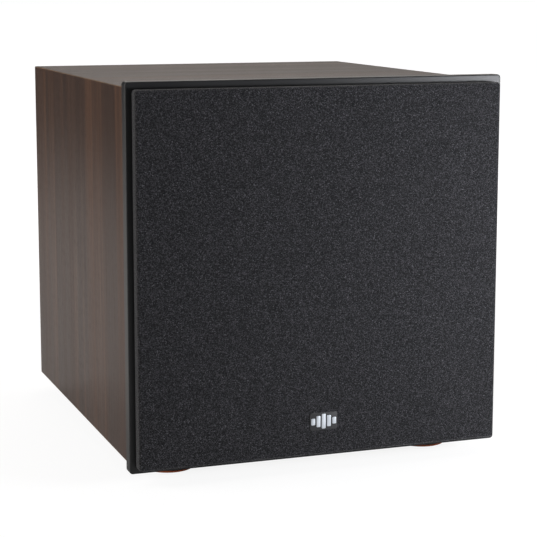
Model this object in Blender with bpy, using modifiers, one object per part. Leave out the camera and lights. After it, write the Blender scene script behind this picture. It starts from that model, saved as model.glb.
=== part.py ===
"""A powered bass loudspeaker with a wood-wrapped cabinet, an oversize front baffle and a cloth grille.

Metres, +Z up, the grille faces -Y. The origin is on the floor, in the middle of the footprint.
"""

import math

import bmesh
import bpy
from mathutils import Vector

# Driving dimensions -------------------------------------------------------------------------------
GAP = 0.0003  # between pieces that touch
OVERALL_DEPTH = 0.404  # badge face to knob ends

CABINET_WIDTH = 0.345
CABINET_HEIGHT = 0.3315
CABINET_DEPTH = 0.375
PANEL = 0.016  # thickness of the cabinet board
FLOOR_CLEARANCE = 0.0165  # cabinet underside above the floor

BAFFLE_WIDTH = 0.353
BAFFLE_ABOVE = 0.0055  # how far it stands past the cabinet at the top
BAFFLE_BELOW = 0.0047
BAFFLE_THICKNESS = 0.0113
BAFFLE_CORNER = 0.003
BAFFLE_EDGE = 0.001
BAFFLE_PLUG = 0.008  # depth of the step that fits inside the cabinet

GRILLE_WIDTH = 0.342
GRILLE_BOTTOM_INSET = 0.0047
GRILLE_TOP_INSET = 0.0064
GRILLE_PROUD = 0.0116
GRILLE_BAR = 0.022
CLOTH = 0.0008
PEG_REACH = 0.008  # of the pegs behind the baffle face

BADGE_WIDTH = 0.0264
BADGE_HEIGHT = 0.0161
BADGE_ABOVE_CABINET_FLOOR = 0.0308
BADGE_PROUD = 0.001

FOOT_X = 0.126
FOOT_INSET = 0.0428  # foot centre from the cabinet's front and rear faces
FOOT_RADIUS = 0.02365
FOOT_RING_HEIGHT = 0.0027

REAR_RECESS = 0.008  # rear panel set in from the sleeve's rear edges
PLATE = 0.0025

BASKET_RADIUS = 0.131
BASKET_RECESS = 0.0039  # basket flange below the baffle face
BAFFLE_HOLE_RADIUS = 0.1183
COIL_RADIUS = 0.025
CONE_NECK_RADIUS = 0.0258
CONE_RIM_RADIUS = 0.0885
CONE_DEPTH = 0.044

PORT_RADIUS = 0.034
PORT_WALL = 0.0025
PORT_LENGTH = 0.176
PORT_Z = 0.268

AMP_X = 0.115  # half width of the amplifier plate
AMP_BOTTOM = 0.042
AMP_TOP = 0.202
CONTROL_ROW_Z = 0.165
SOCKET_ROW_Z = 0.085
LEVEL_X = 0.070
CROSSOVER_X = 0.020
PHASE_X = -0.030
STANDBY_X = -0.075
LINE_INPUT_X = (0.070, 0.048)
POWER_SWITCH_X = -0.010
MAINS_INLET_X = -0.070
STATUS_LIGHT_X = -0.100

BIG_ROUND = 32  # sides of a large turned piece
PORT_SIDES = 28
MIDDLE_ROUND = 24
SMALL_ROUND = 16
PIN_ROUND = 12

# Places worked out from them ----------------------------------------------------------------------
GRILLE_FACE_Y = -OVERALL_DEPTH / 2 + BADGE_PROUD
BAFFLE_FACE_Y = GRILLE_FACE_Y + GRILLE_PROUD
BAFFLE_BACK_Y = BAFFLE_FACE_Y + BAFFLE_THICKNESS
CABINET_FRONT_Y = BAFFLE_BACK_Y + GAP
CABINET_REAR_Y = CABINET_FRONT_Y + CABINET_DEPTH
CABINET_BOTTOM = FLOOR_CLEARANCE
CABINET_TOP = CABINET_BOTTOM + CABINET_HEIGHT
CABINET_MID_Z = (CABINET_BOTTOM + CABINET_TOP) / 2
INNER_X = CABINET_WIDTH / 2 - PANEL
INNER_Z = CABINET_HEIGHT / 2 - PANEL
BAFFLE_BOTTOM = CABINET_BOTTOM - BAFFLE_BELOW
BAFFLE_TOP = CABINET_TOP + BAFFLE_ABOVE
GRILLE_BOTTOM = BAFFLE_BOTTOM + GRILLE_BOTTOM_INSET
GRILLE_TOP = BAFFLE_TOP - GRILLE_TOP_INSET
REAR_PANEL_Y = CABINET_REAR_Y - REAR_RECESS
PLATE_Y = REAR_PANEL_Y + GAP
PLATE_FACE_Y = PLATE_Y + PLATE
DRIVER_Y = BAFFLE_FACE_Y + BASKET_RECESS
DRIVER_CENTRE = Vector((0.0, DRIVER_Y, CABINET_MID_Z))

# Turned profiles are drawn along local +Z, and these turn that axis to face the way named.
FACING = {
    "up": (0.0, 0.0, 0.0),
    "front": (math.pi / 2, 0.0, 0.0),
    "back": (-math.pi / 2, 0.0, 0.0),
}


# Scene, materials and general tools ---------------------------------------------------------------
def clear_scene():
    for obj in list(bpy.data.objects):
        bpy.data.objects.remove(obj, do_unlink=True)


def new_collection(name):
    collection = bpy.data.collections.new(name)
    bpy.context.scene.collection.children.link(collection)
    return collection


clear_scene()
PARTS = new_collection("subwoofer")
CUTTERS = new_collection("cutters")


def new_material(name, colour, roughness, metallic=0.0):
    material = bpy.data.materials.new(name)
    material.use_nodes = True
    shader = material.node_tree.nodes["Principled BSDF"]
    shader.inputs["Base Color"].default_value = (*colour, 1.0)
    shader.inputs["Roughness"].default_value = roughness
    shader.inputs["Metallic"].default_value = metallic
    return material


def place(name, mesh, look, location=(0.0, 0.0, 0.0), rotation=(0.0, 0.0, 0.0)):
    """Puts a mesh in the scene as a part, or as a hidden cutter when it has no look."""
    obj = bpy.data.objects.new(name, mesh)
    obj.location = location
    obj.rotation_euler = rotation
    (PARTS if look else CUTTERS).objects.link(obj)
    if look is None:
        obj.hide_render = True
        obj.display_type = "WIRE"
    else:
        colour, roughness, metallic = look
        mesh.materials.clear()
        mesh.materials.append(new_material(name, colour, roughness, metallic))
    return obj


def box(name, low, high, look=None, edge=0.0):
    """A rectangular block between two corners, with its edges rounded by edge."""
    low, high = Vector(low), Vector(high)
    bm = bmesh.new()
    bmesh.ops.create_cube(bm, size=1.0)
    bmesh.ops.scale(bm, vec=high - low, verts=bm.verts)
    if edge:
        bmesh.ops.bevel(bm, geom=bm.edges[:], offset=edge, segments=1, affect="EDGES")
    mesh = bpy.data.meshes.new(name)
    bm.to_mesh(mesh)
    bm.free()
    return place(name, mesh, look, (low + high) / 2)


def evaluated_mesh(guide):
    """The solid that a guide object's curve or modifiers make, as a plain mesh. The guide is removed."""
    CUTTERS.objects.link(guide)
    depsgraph = bpy.context.evaluated_depsgraph_get()
    mesh = bpy.data.meshes.new_from_object(guide.evaluated_get(depsgraph))
    bpy.data.objects.remove(guide, do_unlink=True)
    return mesh


def turned(name, profile, centre, facing, look=None, steps=SMALL_ROUND):
    """A solid of revolution. The profile holds (radius, height) pairs, down the outside and up the inside;
    one that starts and ends on the axis is left open there."""
    count = len(profile)
    on_axis = profile[0][0] == 0.0 and profile[-1][0] == 0.0
    edges = [(i, i + 1) for i in range(count - 1)]
    if not on_axis:
        edges.append((count - 1, 0))
    outline = bpy.data.meshes.new(name + "_profile")
    outline.from_pydata([(radius, 0.0, height) for radius, height in profile], edges, [])
    guide = bpy.data.objects.new(name + "_profile", outline)
    screw = guide.modifiers.new("Screw", "SCREW")
    screw.steps = steps
    screw.render_steps = steps
    screw.use_merge_vertices = True
    screw.merge_threshold = 0.00001
    mesh = evaluated_mesh(guide)
    mesh.name = name
    mesh.shade_smooth()
    mesh.set_sharp_from_angle(angle=math.radians(35))
    return place(name, mesh, look, centre, FACING[facing])


def cylinder(name, radius, height, centre, facing, look=None, steps=SMALL_ROUND):
    """A plain round bar from centre to height along the way it faces."""
    profile = [(0.0, height), (radius, height), (radius, 0.0), (0.0, 0.0)]
    return turned(name, profile, centre, facing, look, steps)


def rounded_rectangle(centre, half_width, half_height, radius, steps=4):
    """The corner points of a rectangle with round corners, anticlockwise."""
    points = []
    for quarter, (sx, sy) in enumerate(((1, 1), (-1, 1), (-1, -1), (1, -1))):
        middle_x = centre[0] + sx * (half_width - radius)
        middle_y = centre[1] + sy * (half_height - radius)
        for step in range(steps + 1):
            angle = math.pi / 2 * (quarter + step / steps)
            points.append((middle_x + radius * math.cos(angle), middle_y + radius * math.sin(angle)))
    return points


def rectangle(low_x, high_x, low_y, high_y):
    return [(low_x, low_y), (high_x, low_y), (high_x, high_y), (low_x, high_y)]


def circle(centre, radius, steps=SMALL_ROUND):
    angles = [2 * math.pi * i / steps for i in range(steps)]
    return [(centre[0] + radius * math.cos(a), centre[1] + radius * math.sin(a)) for a in angles]


def outline_mesh(name, loops, thickness):
    """Flat outlines in local X and Y, extruded along local Z about the middle; inner loops are holes."""
    curve = bpy.data.curves.new(name, "CURVE")
    curve.dimensions = "2D"
    curve.fill_mode = "BOTH"
    curve.extrude = thickness / 2
    for loop in loops:
        spline = curve.splines.new("POLY")
        spline.points.add(len(loop) - 1)
        for point, (x, y) in zip(spline.points, loop):
            point.co = (x, y, 0.0, 1.0)
        spline.use_cyclic_u = True
    mesh = evaluated_mesh(bpy.data.objects.new(name + "_outline", curve))
    mesh.name = name
    bm = bmesh.new()
    bm.from_mesh(mesh)
    bmesh.ops.remove_doubles(bm, verts=bm.verts, dist=0.000002)
    bmesh.ops.recalc_face_normals(bm, faces=bm.faces)
    bm.to_mesh(mesh)
    bm.free()
    return mesh


def upright_plate(name, loops, front_y, back_y, look=None, front_edge=0.0):
    """A plate standing across the depth. Its loops are world (x, z) points; front_edge chamfers its front."""
    mesh = outline_mesh(name, loops, back_y - front_y)
    if front_edge:
        bm = bmesh.new()
        bm.from_mesh(mesh)
        top = max(vertex.co.z for vertex in bm.verts)
        rim = [
            edge
            for edge in bm.edges
            if all(abs(vertex.co.z - top) < 1e-7 for vertex in edge.verts)
            and edge.calc_face_angle(0.0) > math.radians(45)
        ]
        bmesh.ops.bevel(bm, geom=rim, offset=front_edge, segments=2, profile=0.5, affect="EDGES")
        bm.to_mesh(mesh)
        bm.free()
    return place(name, mesh, look, (0.0, (front_y + back_y) / 2, 0.0), FACING["front"])


def level_prism(name, loop, low_z, high_z, centre, look=None, turn=0.0):
    """An outline in X and Y about centre, extruded upright from low_z to high_z."""
    mesh = outline_mesh(name, [loop], high_z - low_z)
    location = (centre[0], centre[1], (low_z + high_z) / 2)
    return place(name, mesh, look, location, (0.0, 0.0, turn))


def boolean(target, other, operation):
    modifier = target.modifiers.new(other.name, "BOOLEAN")
    modifier.operation = operation
    modifier.solver = "EXACT"
    modifier.object = other


def cut(target, *cutters):
    for cutter in cutters:
        boolean(target, cutter, "DIFFERENCE")


def join(target, *others):
    for other in others:
        boolean(target, other, "UNION")


# Looks: colour, roughness, metallic ---------------------------------------------------------------
WALNUT = ((0.085, 0.055, 0.042), 0.45, 0.0)
BOARD = ((0.36, 0.25, 0.16), 0.8, 0.0)
BLACK_SATIN = ((0.012, 0.012, 0.014), 0.4, 0.0)
BLACK_PLASTIC = ((0.015, 0.015, 0.016), 0.5, 0.0)
BLACK_METAL = ((0.02, 0.02, 0.022), 0.45, 1.0)
CHARCOAL_CLOTH = ((0.03, 0.03, 0.033), 0.95, 0.0)
SILVER = ((0.72, 0.75, 0.8), 0.3, 1.0)
RUBBER = ((0.02, 0.02, 0.02), 0.8, 0.0)
ORANGE = ((0.75, 0.16, 0.04), 0.6, 0.0)
PAPER = ((0.03, 0.03, 0.03), 0.85, 0.0)
STEEL = ((0.6, 0.6, 0.6), 0.35, 1.0)
FERRITE = ((0.04, 0.04, 0.045), 0.6, 0.0)
COPPER = ((0.8, 0.35, 0.15), 0.35, 1.0)
AMBER_CLOTH = ((0.6, 0.42, 0.15), 0.9, 0.0)
WHITE_WOOL = ((0.8, 0.8, 0.78), 0.95, 0.0)
GREEN_BOARD = ((0.02, 0.2, 0.06), 0.5, 0.0)
ALUMINIUM = ((0.7, 0.7, 0.72), 0.4, 1.0)
RED_WIRE = ((0.6, 0.02, 0.02), 0.5, 0.0)
GREEN_LENS = ((0.05, 0.7, 0.1), 0.2, 0.0)
GOLD = ((0.9, 0.65, 0.25), 0.3, 1.0)


# Cabinet ------------------------------------------------------------------------------------------
def cabinet_sleeve():
    """Four panels folded round the box, mitred where they meet."""
    half_width, half_height = CABINET_WIDTH / 2, CABINET_HEIGHT / 2
    mitre = GAP / math.sqrt(2)
    for name, side in (("top_panel", 1), ("bottom_panel", -1)):
        outer, inner = half_width - mitre, half_width - PANEL - mitre
        outer_z = CABINET_MID_Z + side * half_height
        inner_z = CABINET_MID_Z + side * (half_height - PANEL)
        loop = [(-outer, outer_z), (outer, outer_z), (inner, inner_z), (-inner, inner_z)]
        upright_plate(name, [loop], CABINET_FRONT_Y, CABINET_REAR_Y, WALNUT)
    for name, side in (("left_side_panel", -1), ("right_side_panel", 1)):
        outer, inner = half_height - mitre, half_height - PANEL - mitre
        outer_x, inner_x = side * half_width, side * (half_width - PANEL)
        loop = [
            (outer_x, CABINET_MID_Z - outer),
            (outer_x, CABINET_MID_Z + outer),
            (inner_x, CABINET_MID_Z + inner),
            (inner_x, CABINET_MID_Z - inner),
        ]
        upright_plate(name, [loop], CABINET_FRONT_Y, CABINET_REAR_Y, WALNUT)


def inner_rectangle():
    """The sleeve's inside, less the gap."""
    x, z = INNER_X - GAP, INNER_Z - GAP
    return rectangle(-x, x, CABINET_MID_Z - z, CABINET_MID_Z + z)


PLATE_LAP = 0.012  # of the amplifier plate over its opening
PORT_HOLE_RADIUS = 0.041


def rear_panel():
    opening_x = AMP_X - PLATE_LAP
    amp_opening = rectangle(-opening_x, opening_x, AMP_BOTTOM + PLATE_LAP, AMP_TOP - PLATE_LAP)
    loops = [inner_rectangle(), amp_opening, circle((0.0, PORT_Z), PORT_HOLE_RADIUS, PORT_SIDES)]
    upright_plate("rear_panel", loops, REAR_PANEL_Y - PANEL, REAR_PANEL_Y, BLACK_SATIN)


def window_brace():
    """A board across the middle of the box with a large window for the magnet and the air."""
    brace_y = -0.050
    half_width, half_height, corner = 0.105, 0.100, 0.030
    window = rounded_rectangle((0.0, CABINET_MID_Z), half_width, half_height, corner)
    upright_plate("window_brace", [inner_rectangle(), window], brace_y, brace_y + PANEL, BOARD)


def damping_pad():
    """Polyester wadding on the inside of the left panel."""
    thickness, front_y, rear_y = 0.0197, -0.020, 0.120
    low, high = 0.060, 0.300
    wall_x = -INNER_X + GAP
    box(
        "damping_pad",
        (wall_x, front_y, low),
        (wall_x + thickness, rear_y, high),
        WHITE_WOOL,
        edge=0.006,
    )


def grommet_places():
    x = 0.159
    z = 0.153
    return [(sx * x, CABINET_MID_Z + sz * z) for sx in (-1, 1) for sz in (-1, 1)]


GROMMET_HOLE_RADIUS = 0.0053
GROMMET_HOLE_DEPTH = 0.010


def front_baffle():
    """The oversize plate with its step behind, the stepped woofer hole and four grommet holes."""
    mid_z = (BAFFLE_BOTTOM + BAFFLE_TOP) / 2
    outline = rounded_rectangle(
        (0.0, mid_z), BAFFLE_WIDTH / 2, (BAFFLE_TOP - BAFFLE_BOTTOM) / 2, BAFFLE_CORNER
    )
    baffle = upright_plate(
        "front_baffle", [outline], BAFFLE_FACE_Y, BAFFLE_BACK_Y, BLACK_SATIN, BAFFLE_EDGE
    )
    plug = upright_plate(
        "baffle_plug", [inner_rectangle()], BAFFLE_BACK_Y - 0.001, BAFFLE_BACK_Y + BAFFLE_PLUG
    )
    join(baffle, plug)
    rebate = BASKET_RADIUS + 0.0004
    ahead, rebate_floor, behind = 0.005, -0.0085, -0.030
    profile = [
        (0.0, ahead),
        (rebate, ahead),
        (rebate, rebate_floor),
        (BAFFLE_HOLE_RADIUS, rebate_floor),
        (BAFFLE_HOLE_RADIUS, behind),
        (0.0, behind),
    ]
    centre = (0.0, BAFFLE_FACE_Y, CABINET_MID_Z)
    cut(baffle, turned("woofer_hole", profile, centre, "front", steps=BIG_ROUND))
    for number, (x, z) in enumerate(grommet_places(), start=1):
        centre = (x, BAFFLE_FACE_Y + GROMMET_HOLE_DEPTH, z)
        cut(
            baffle,
            cylinder(f"grommet_hole_{number}", GROMMET_HOLE_RADIUS, 0.015, centre, "front"),
        )


def port_tube():
    """The reflex tube, flared where it meets the rear panel and at its inner end."""
    outer = PORT_RADIUS + PORT_WALL
    flange, flange_top = 0.050, 0.0025
    neck, neck_end, taper_end = PORT_HOLE_RADIUS - 0.0005, -0.008, -0.014
    bend = 0.008  # radius of the mouth's flare
    inner_flare, flare_depth = 0.043, 0.014
    steps = 4
    mouth = []
    for step in range(steps + 1):
        angle = math.pi / 2 * step / steps
        radius = PORT_RADIUS + bend - bend * math.cos(angle)
        mouth.append((radius, flange_top - bend + bend * math.sin(angle)))
    profile = [
        (flange, flange_top),
        (flange, 0.0),
        (neck, 0.0),
        (neck, neck_end),
        (outer, taper_end),
        (outer, flare_depth + 0.001 - PORT_LENGTH),
        (inner_flare, 0.002 - PORT_LENGTH),
        (inner_flare - 0.002, -PORT_LENGTH),
        (PORT_RADIUS, flare_depth - PORT_LENGTH),
        *mouth,
    ]
    turned("port_tube", profile, (0.0, PLATE_Y, PORT_Z), "back", BLACK_PLASTIC, PORT_SIDES)


# Feet ---------------------------------------------------------------------------------------------
def feet():
    front = CABINET_FRONT_Y + FOOT_INSET
    rear = CABINET_REAR_Y - FOOT_INSET
    places = (
        ("front_left", -FOOT_X, front),
        ("front_right", FOOT_X, front),
        ("rear_left", -FOOT_X, rear),
        ("rear_right", FOOT_X, rear),
    )
    screw_hole, tool_hole = 0.003, 0.006
    top_radius, shoulder_height, chamfer = 0.0200, 0.0095, 0.0006
    body_radius = FOOT_RADIUS - 0.0004
    body_top = CABINET_BOTTOM - GAP
    body_bottom = FOOT_RING_HEIGHT + GAP
    body = [
        (top_radius, body_top),
        (body_radius, shoulder_height),
        (body_radius, body_bottom),
        (screw_hole, body_bottom),
        (screw_hole, body_top),
    ]
    ring = [
        (FOOT_RADIUS, FOOT_RING_HEIGHT),
        (FOOT_RADIUS, chamfer),
        (FOOT_RADIUS - chamfer, 0.0),
        (tool_hole, 0.0),
        (tool_hole, FOOT_RING_HEIGHT),
    ]
    for name, x, y in places:
        turned(f"foot_body_{name}", body, (x, y, 0.0), "up", BLACK_PLASTIC, MIDDLE_ROUND)
        turned(f"foot_ring_{name}", ring, (x, y, 0.0), "up", ORANGE, MIDDLE_ROUND)


# Woofer. Heights are ahead of the basket's flange -------------------------------------------------
def cone_front(radius):
    """Height of the cone's front face, a shallow curve from the neck to the rim."""
    along = (radius - CONE_NECK_RADIUS) / (CONE_RIM_RADIUS - CONE_NECK_RADIUS)
    return -CONE_DEPTH * (1 - along**1.15)


def driver_basket():
    """The pressed steel frame: flange, conical wall with six windows, spider shelf and floor."""
    profile = [
        (BASKET_RADIUS, 0.0),
        (BASKET_RADIUS, -0.0027),
        (0.1165, -0.0027),
        (0.1135, -0.0090),
        (0.0715, -0.0610),
        (0.0620, -0.0610),
        (0.0620, -0.0770),
        (0.0280, -0.0770),
        (0.0280, -0.0750),
        (0.0600, -0.0750),
        (0.0600, -0.0590),
        (0.0693, -0.0590),
        (0.1113, -0.0085),
        (0.1090, -0.0027),
        (0.1090, 0.0),
    ]
    basket = turned("driver_basket", profile, DRIVER_CENTRE, "front", BLACK_METAL, BIG_ROUND)
    windows = 6
    half_angle = math.radians(20)
    inner, outer = 0.077, 0.105
    arc_steps = 4
    for number in range(windows):
        middle = 2 * math.pi * (number + 0.5) / windows
        arc = [middle - half_angle + 2 * half_angle * i / arc_steps for i in range(arc_steps + 1)]
        ring = [(outer, a) for a in arc] + [(inner, a) for a in reversed(arc)]
        loop = [(r * math.cos(a), CABINET_MID_Z + r * math.sin(a)) for r, a in ring]
        front, back = DRIVER_Y + 0.004, DRIVER_Y + 0.070
        cut(basket, upright_plate(f"basket_window_{number + 1}", [loop], front, back))


def driver_gasket():
    profile = [(0.1308, -0.0030), (0.1308, -0.0043), (0.1190, -0.0043), (0.1190, -0.0030)]
    turned("driver_gasket", profile, DRIVER_CENTRE, "front", RUBBER, BIG_ROUND)


def surround():
    """The rubber half roll between the basket's flange and the cone's rim."""
    lip_bottom, lip = GAP, 0.0009
    middle, roll = 0.102, 0.008
    steps = 6
    angles = [math.pi * i / steps for i in range(steps + 1)]
    under = [
        (middle + (roll - lip) * math.cos(a), lip_bottom + (roll - lip) * math.sin(a))
        for a in angles
    ]
    over = [
        (middle + roll * math.cos(a), lip_bottom + lip + roll * math.sin(a))
        for a in reversed(angles)
    ]
    profile = [
        (0.1190, lip_bottom + lip),
        (0.1190, lip_bottom),
        *under,
        (0.0890, lip_bottom),
        (0.0890, lip_bottom + lip),
        *over,
    ]
    turned("surround", profile, DRIVER_CENTRE, "front", RUBBER, BIG_ROUND)


def cone():
    rim = 0.0934
    wall = 0.0011
    steps = 4
    radii = [CONE_NECK_RADIUS + (CONE_RIM_RADIUS - CONE_NECK_RADIUS) * i / steps for i in range(steps + 1)]
    front = [(r, cone_front(r)) for r in radii]
    back = [(r, cone_front(r) - wall) for r in reversed(radii)]
    profile = [(rim, 0.0), (rim, -wall), *back, *front]
    turned("cone", profile, DRIVER_CENTRE, "front", PAPER, BIG_ROUND)


def dust_cap():
    rim, rise, wall = 0.0386, 0.012, 0.0009
    base = cone_front(rim) + GAP + 0.0004
    steps = 4
    radii = [rim * i / steps for i in range(steps + 1)]
    over = [(r, base + wall + rise * (1 - (r / rim) ** 2)) for r in radii]
    under = [(r, base + rise * (1 - (r / rim) ** 2)) for r in reversed(radii)]
    turned("dust_cap", [*over, *under], DRIVER_CENTRE, "front", PAPER, BIG_ROUND)


def spider():
    """The corrugated cloth that centres the coil, standing on the basket's shelf."""
    inner, outer = 0.0258, 0.0668
    middle, wave, thick = -0.0573, 0.0010, 0.0006
    steps, waves = 8, 2
    under, over = [], []
    for step in range(steps + 1):
        along = step / steps
        height = middle + wave * math.sin(2 * math.pi * waves * along)
        radius = outer + (inner - outer) * along
        under.append((radius, height - thick / 2))
        over.append((radius, height + thick / 2))
    turned("spider", [*under, *reversed(over)], DRIVER_CENTRE, "front", AMBER_CLOTH, MIDDLE_ROUND)


def ring(name, inner, outer, top, bottom, look, steps=MIDDLE_ROUND):
    """A flat-ended ring of the woofer's motor."""
    profile = [(outer, top), (outer, bottom), (inner, bottom), (inner, top)]
    turned(name, profile, DRIVER_CENTRE, "front", look, steps)


def motor():
    """Former and coil, and the magnet that they move in."""
    ring("voice_coil_former", COIL_RADIUS, 0.0254, -0.0420, -0.0910, ALUMINIUM)
    ring("voice_coil", 0.0257, 0.0267, -0.0713, -0.0893, COPPER)
    ring("magnet_top_plate", 0.0272, 0.0520, -0.0773, -0.0833, STEEL)
    ring("ferrite_magnet", 0.0300, 0.0600, -0.0836, -0.1036, FERRITE)
    pole, vent = 0.0242, 0.0070
    profile = [
        (pole, -0.0773),
        (pole, -0.1039),
        (0.0520, -0.1039),
        (0.0520, -0.1119),
        (vent, -0.1119),
        (vent, -0.0773),
    ]
    turned("yoke", profile, DRIVER_CENTRE, "front", STEEL, MIDDLE_ROUND)


STRIP_TOP = CABINET_MID_Z - 0.0625
STRIP_BACK_Y = DRIVER_Y + 0.075
TAG_X = 0.007


def terminal_strip():
    """The insulated tag strip under the basket's neck, with its two tags."""
    half_length, thickness = 0.012, 0.004
    tag_half, tag_y, tag_drop, tag_root = 0.0015, DRIVER_Y + 0.065, 0.010, 0.003
    strip = box(
        "terminal_strip",
        (-half_length, DRIVER_Y + 0.063, STRIP_TOP - thickness),
        (half_length, STRIP_BACK_Y, STRIP_TOP),
        BOARD,
    )
    for side in (-1, 1):
        tag = box(
            f"strip_tag_{side}",
            (side * TAG_X - tag_half, tag_y, STRIP_TOP - tag_drop),
            (side * TAG_X + tag_half, tag_y + 0.001, STRIP_TOP - tag_root),
        )
        join(strip, tag)


def speaker_leads():
    """Two leads from the terminal strip, under the magnet and through the brace, to the amplifier."""
    wire = 0.0013
    start_z = STRIP_TOP - 0.0075
    run_z = CABINET_MID_Z - 0.078
    end_y = AMP_HOUSING_FRONT_Y - GAP
    for name, side, look in (("speaker_lead_positive", 1, RED_WIRE), ("speaker_lead_negative", -1, RUBBER)):
        route = [
            (side * TAG_X, DRIVER_Y + 0.0666, start_z),
            (side * TAG_X, DRIVER_Y + 0.0750, start_z),
            (side * 0.006, DRIVER_Y + 0.0850, run_z + 0.0040),
            (side * 0.004, DRIVER_Y + 0.1000, run_z),
            (side * 0.003, -0.0450, run_z),
            (side * 0.003, 0.0200, run_z + 0.004),
            (side * 0.003, 0.0700, run_z + 0.022),
            (side * 0.003, end_y - 0.020, run_z + 0.038),
            (side * 0.003, end_y, run_z + 0.040),
        ]
        curve = bpy.data.curves.new(name, "CURVE")
        curve.dimensions = "3D"
        curve.bevel_depth = wire
        curve.bevel_resolution = 2
        curve.use_fill_caps = True
        spline = curve.splines.new("POLY")
        spline.points.add(len(route) - 1)
        for point, (x, y, z) in zip(spline.points, route):
            point.co = (x, y, z, 1.0)
        lead = bpy.data.objects.new(name, curve)
        colour, roughness, metallic = look
        curve.materials.append(new_material(name, colour, roughness, metallic))
        PARTS.objects.link(lead)


# Amplifier ----------------------------------------------------------------------------------------
AMP_HOUSING_FRONT_Y = 0.124
HOUSING_WALL = 0.002
SWITCH_SLOT_Z = 0.0021
PHASE_TRAVEL = 0.004
STANDBY_TRAVEL = 0.0035  # each way from the middle
NUB = 0.002  # half width of a slider's grip
KNOB_HOLE = 0.0036
JACK_HOLE = 0.0045
LIGHT_HOLE = 0.0020
INLET_X, INLET_Z = 0.0135, 0.0100  # half size of the inlet's body
SWITCH_X, SWITCH_Z = 0.0096, 0.0066


def slot(centre_x, half_travel):
    """The slot that a slider's grip runs in."""
    half = NUB + half_travel + 0.0004
    return rectangle(
        centre_x - half, centre_x + half, CONTROL_ROW_Z - SWITCH_SLOT_Z, CONTROL_ROW_Z + SWITCH_SLOT_Z
    )


def around(x, z, half_x, half_z):
    clearance = 0.0003
    return rectangle(
        x - half_x - clearance, x + half_x + clearance, z - half_z - clearance, z + half_z + clearance
    )


def amp_plate():
    mid_z = (AMP_BOTTOM + AMP_TOP) / 2
    loops = [
        rounded_rectangle((0.0, mid_z), AMP_X, (AMP_TOP - AMP_BOTTOM) / 2, 0.006),
        circle((LEVEL_X, CONTROL_ROW_Z), KNOB_HOLE),
        circle((CROSSOVER_X, CONTROL_ROW_Z), KNOB_HOLE),
        slot(PHASE_X, PHASE_TRAVEL / 2),
        slot(STANDBY_X, STANDBY_TRAVEL),
        circle((STATUS_LIGHT_X, CONTROL_ROW_Z), LIGHT_HOLE, PIN_ROUND),
        around(MAINS_INLET_X, SOCKET_ROW_Z, INLET_X, INLET_Z),
        around(POWER_SWITCH_X, SOCKET_ROW_Z, SWITCH_X, SWITCH_Z),
    ]
    for x in LINE_INPUT_X:
        loops.append(circle((x, SOCKET_ROW_Z), JACK_HOLE))
    upright_plate("amp_plate", loops, PLATE_Y, PLATE_FACE_Y, BLACK_METAL)


def amp_housing():
    """The closed back box that keeps the cabinet's air away from the electronics."""
    half_x, low, high = 0.098, 0.059, 0.185
    housing = box(
        "amp_housing", (-half_x, AMP_HOUSING_FRONT_Y, low), (half_x, REAR_PANEL_Y, high), BLACK_PLASTIC
    )
    inside = box(
        "housing_inside",
        (-half_x + HOUSING_WALL, AMP_HOUSING_FRONT_Y + HOUSING_WALL, low + HOUSING_WALL),
        (half_x - HOUSING_WALL, REAR_PANEL_Y + 0.010, high - HOUSING_WALL),
    )
    cut(housing, inside)


def heat_sink():
    """A finned extrusion against the plate's inner face."""
    low_x, high_x = -0.090, -0.020
    base_back, base_front, fin_front = 0.1890, 0.1855, 0.1700
    low_z, high_z = 0.100, 0.150
    fins, fin = 8, 0.002
    pitch = (high_x - low_x - fin) / (fins - 1)
    loop = [(high_x, base_back), (low_x, base_back)]
    for number in range(fins):
        left = low_x + number * pitch
        loop += [(left, fin_front), (left + fin, fin_front)]
        if number < fins - 1:
            loop += [(left + fin, base_front), (left + pitch, base_front)]
    level_prism("heat_sink", loop, low_z, high_z, (0.0, 0.0), ALUMINIUM)


BOARD_FRONT_Y = 0.1634
BOARD_BACK_Y = 0.1650


def electronics():
    board_x, board_low, board_high = 0.088, 0.064, 0.180
    board = rectangle(-board_x, board_x, board_low, board_high)
    upright_plate("circuit_board", [board], BOARD_FRONT_Y, BOARD_BACK_Y, GREEN_BOARD)
    mount_y = BOARD_FRONT_Y - GAP
    outer, inner, height = 0.0280, 0.0080, 0.0270
    wound = [(outer, height), (outer, 0.0), (inner, 0.0), (inner, height)]
    centre = (-0.045, mount_y, 0.122)
    turned("mains_transformer", wound, centre, "front", AMBER_CLOTH, MIDDLE_ROUND)
    can_radius, can_height, chamfer = 0.0110, 0.0300, 0.0010
    can = [
        (0.0, can_height),
        (can_radius - chamfer, can_height),
        (can_radius, can_height - chamfer),
        (can_radius, 0.0),
        (0.0, 0.0),
    ]
    for number, x in enumerate((0.020, 0.048), start=1):
        turned(f"filter_capacitor_{number}", can, (x, mount_y, 0.125), "front", RUBBER)


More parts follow.
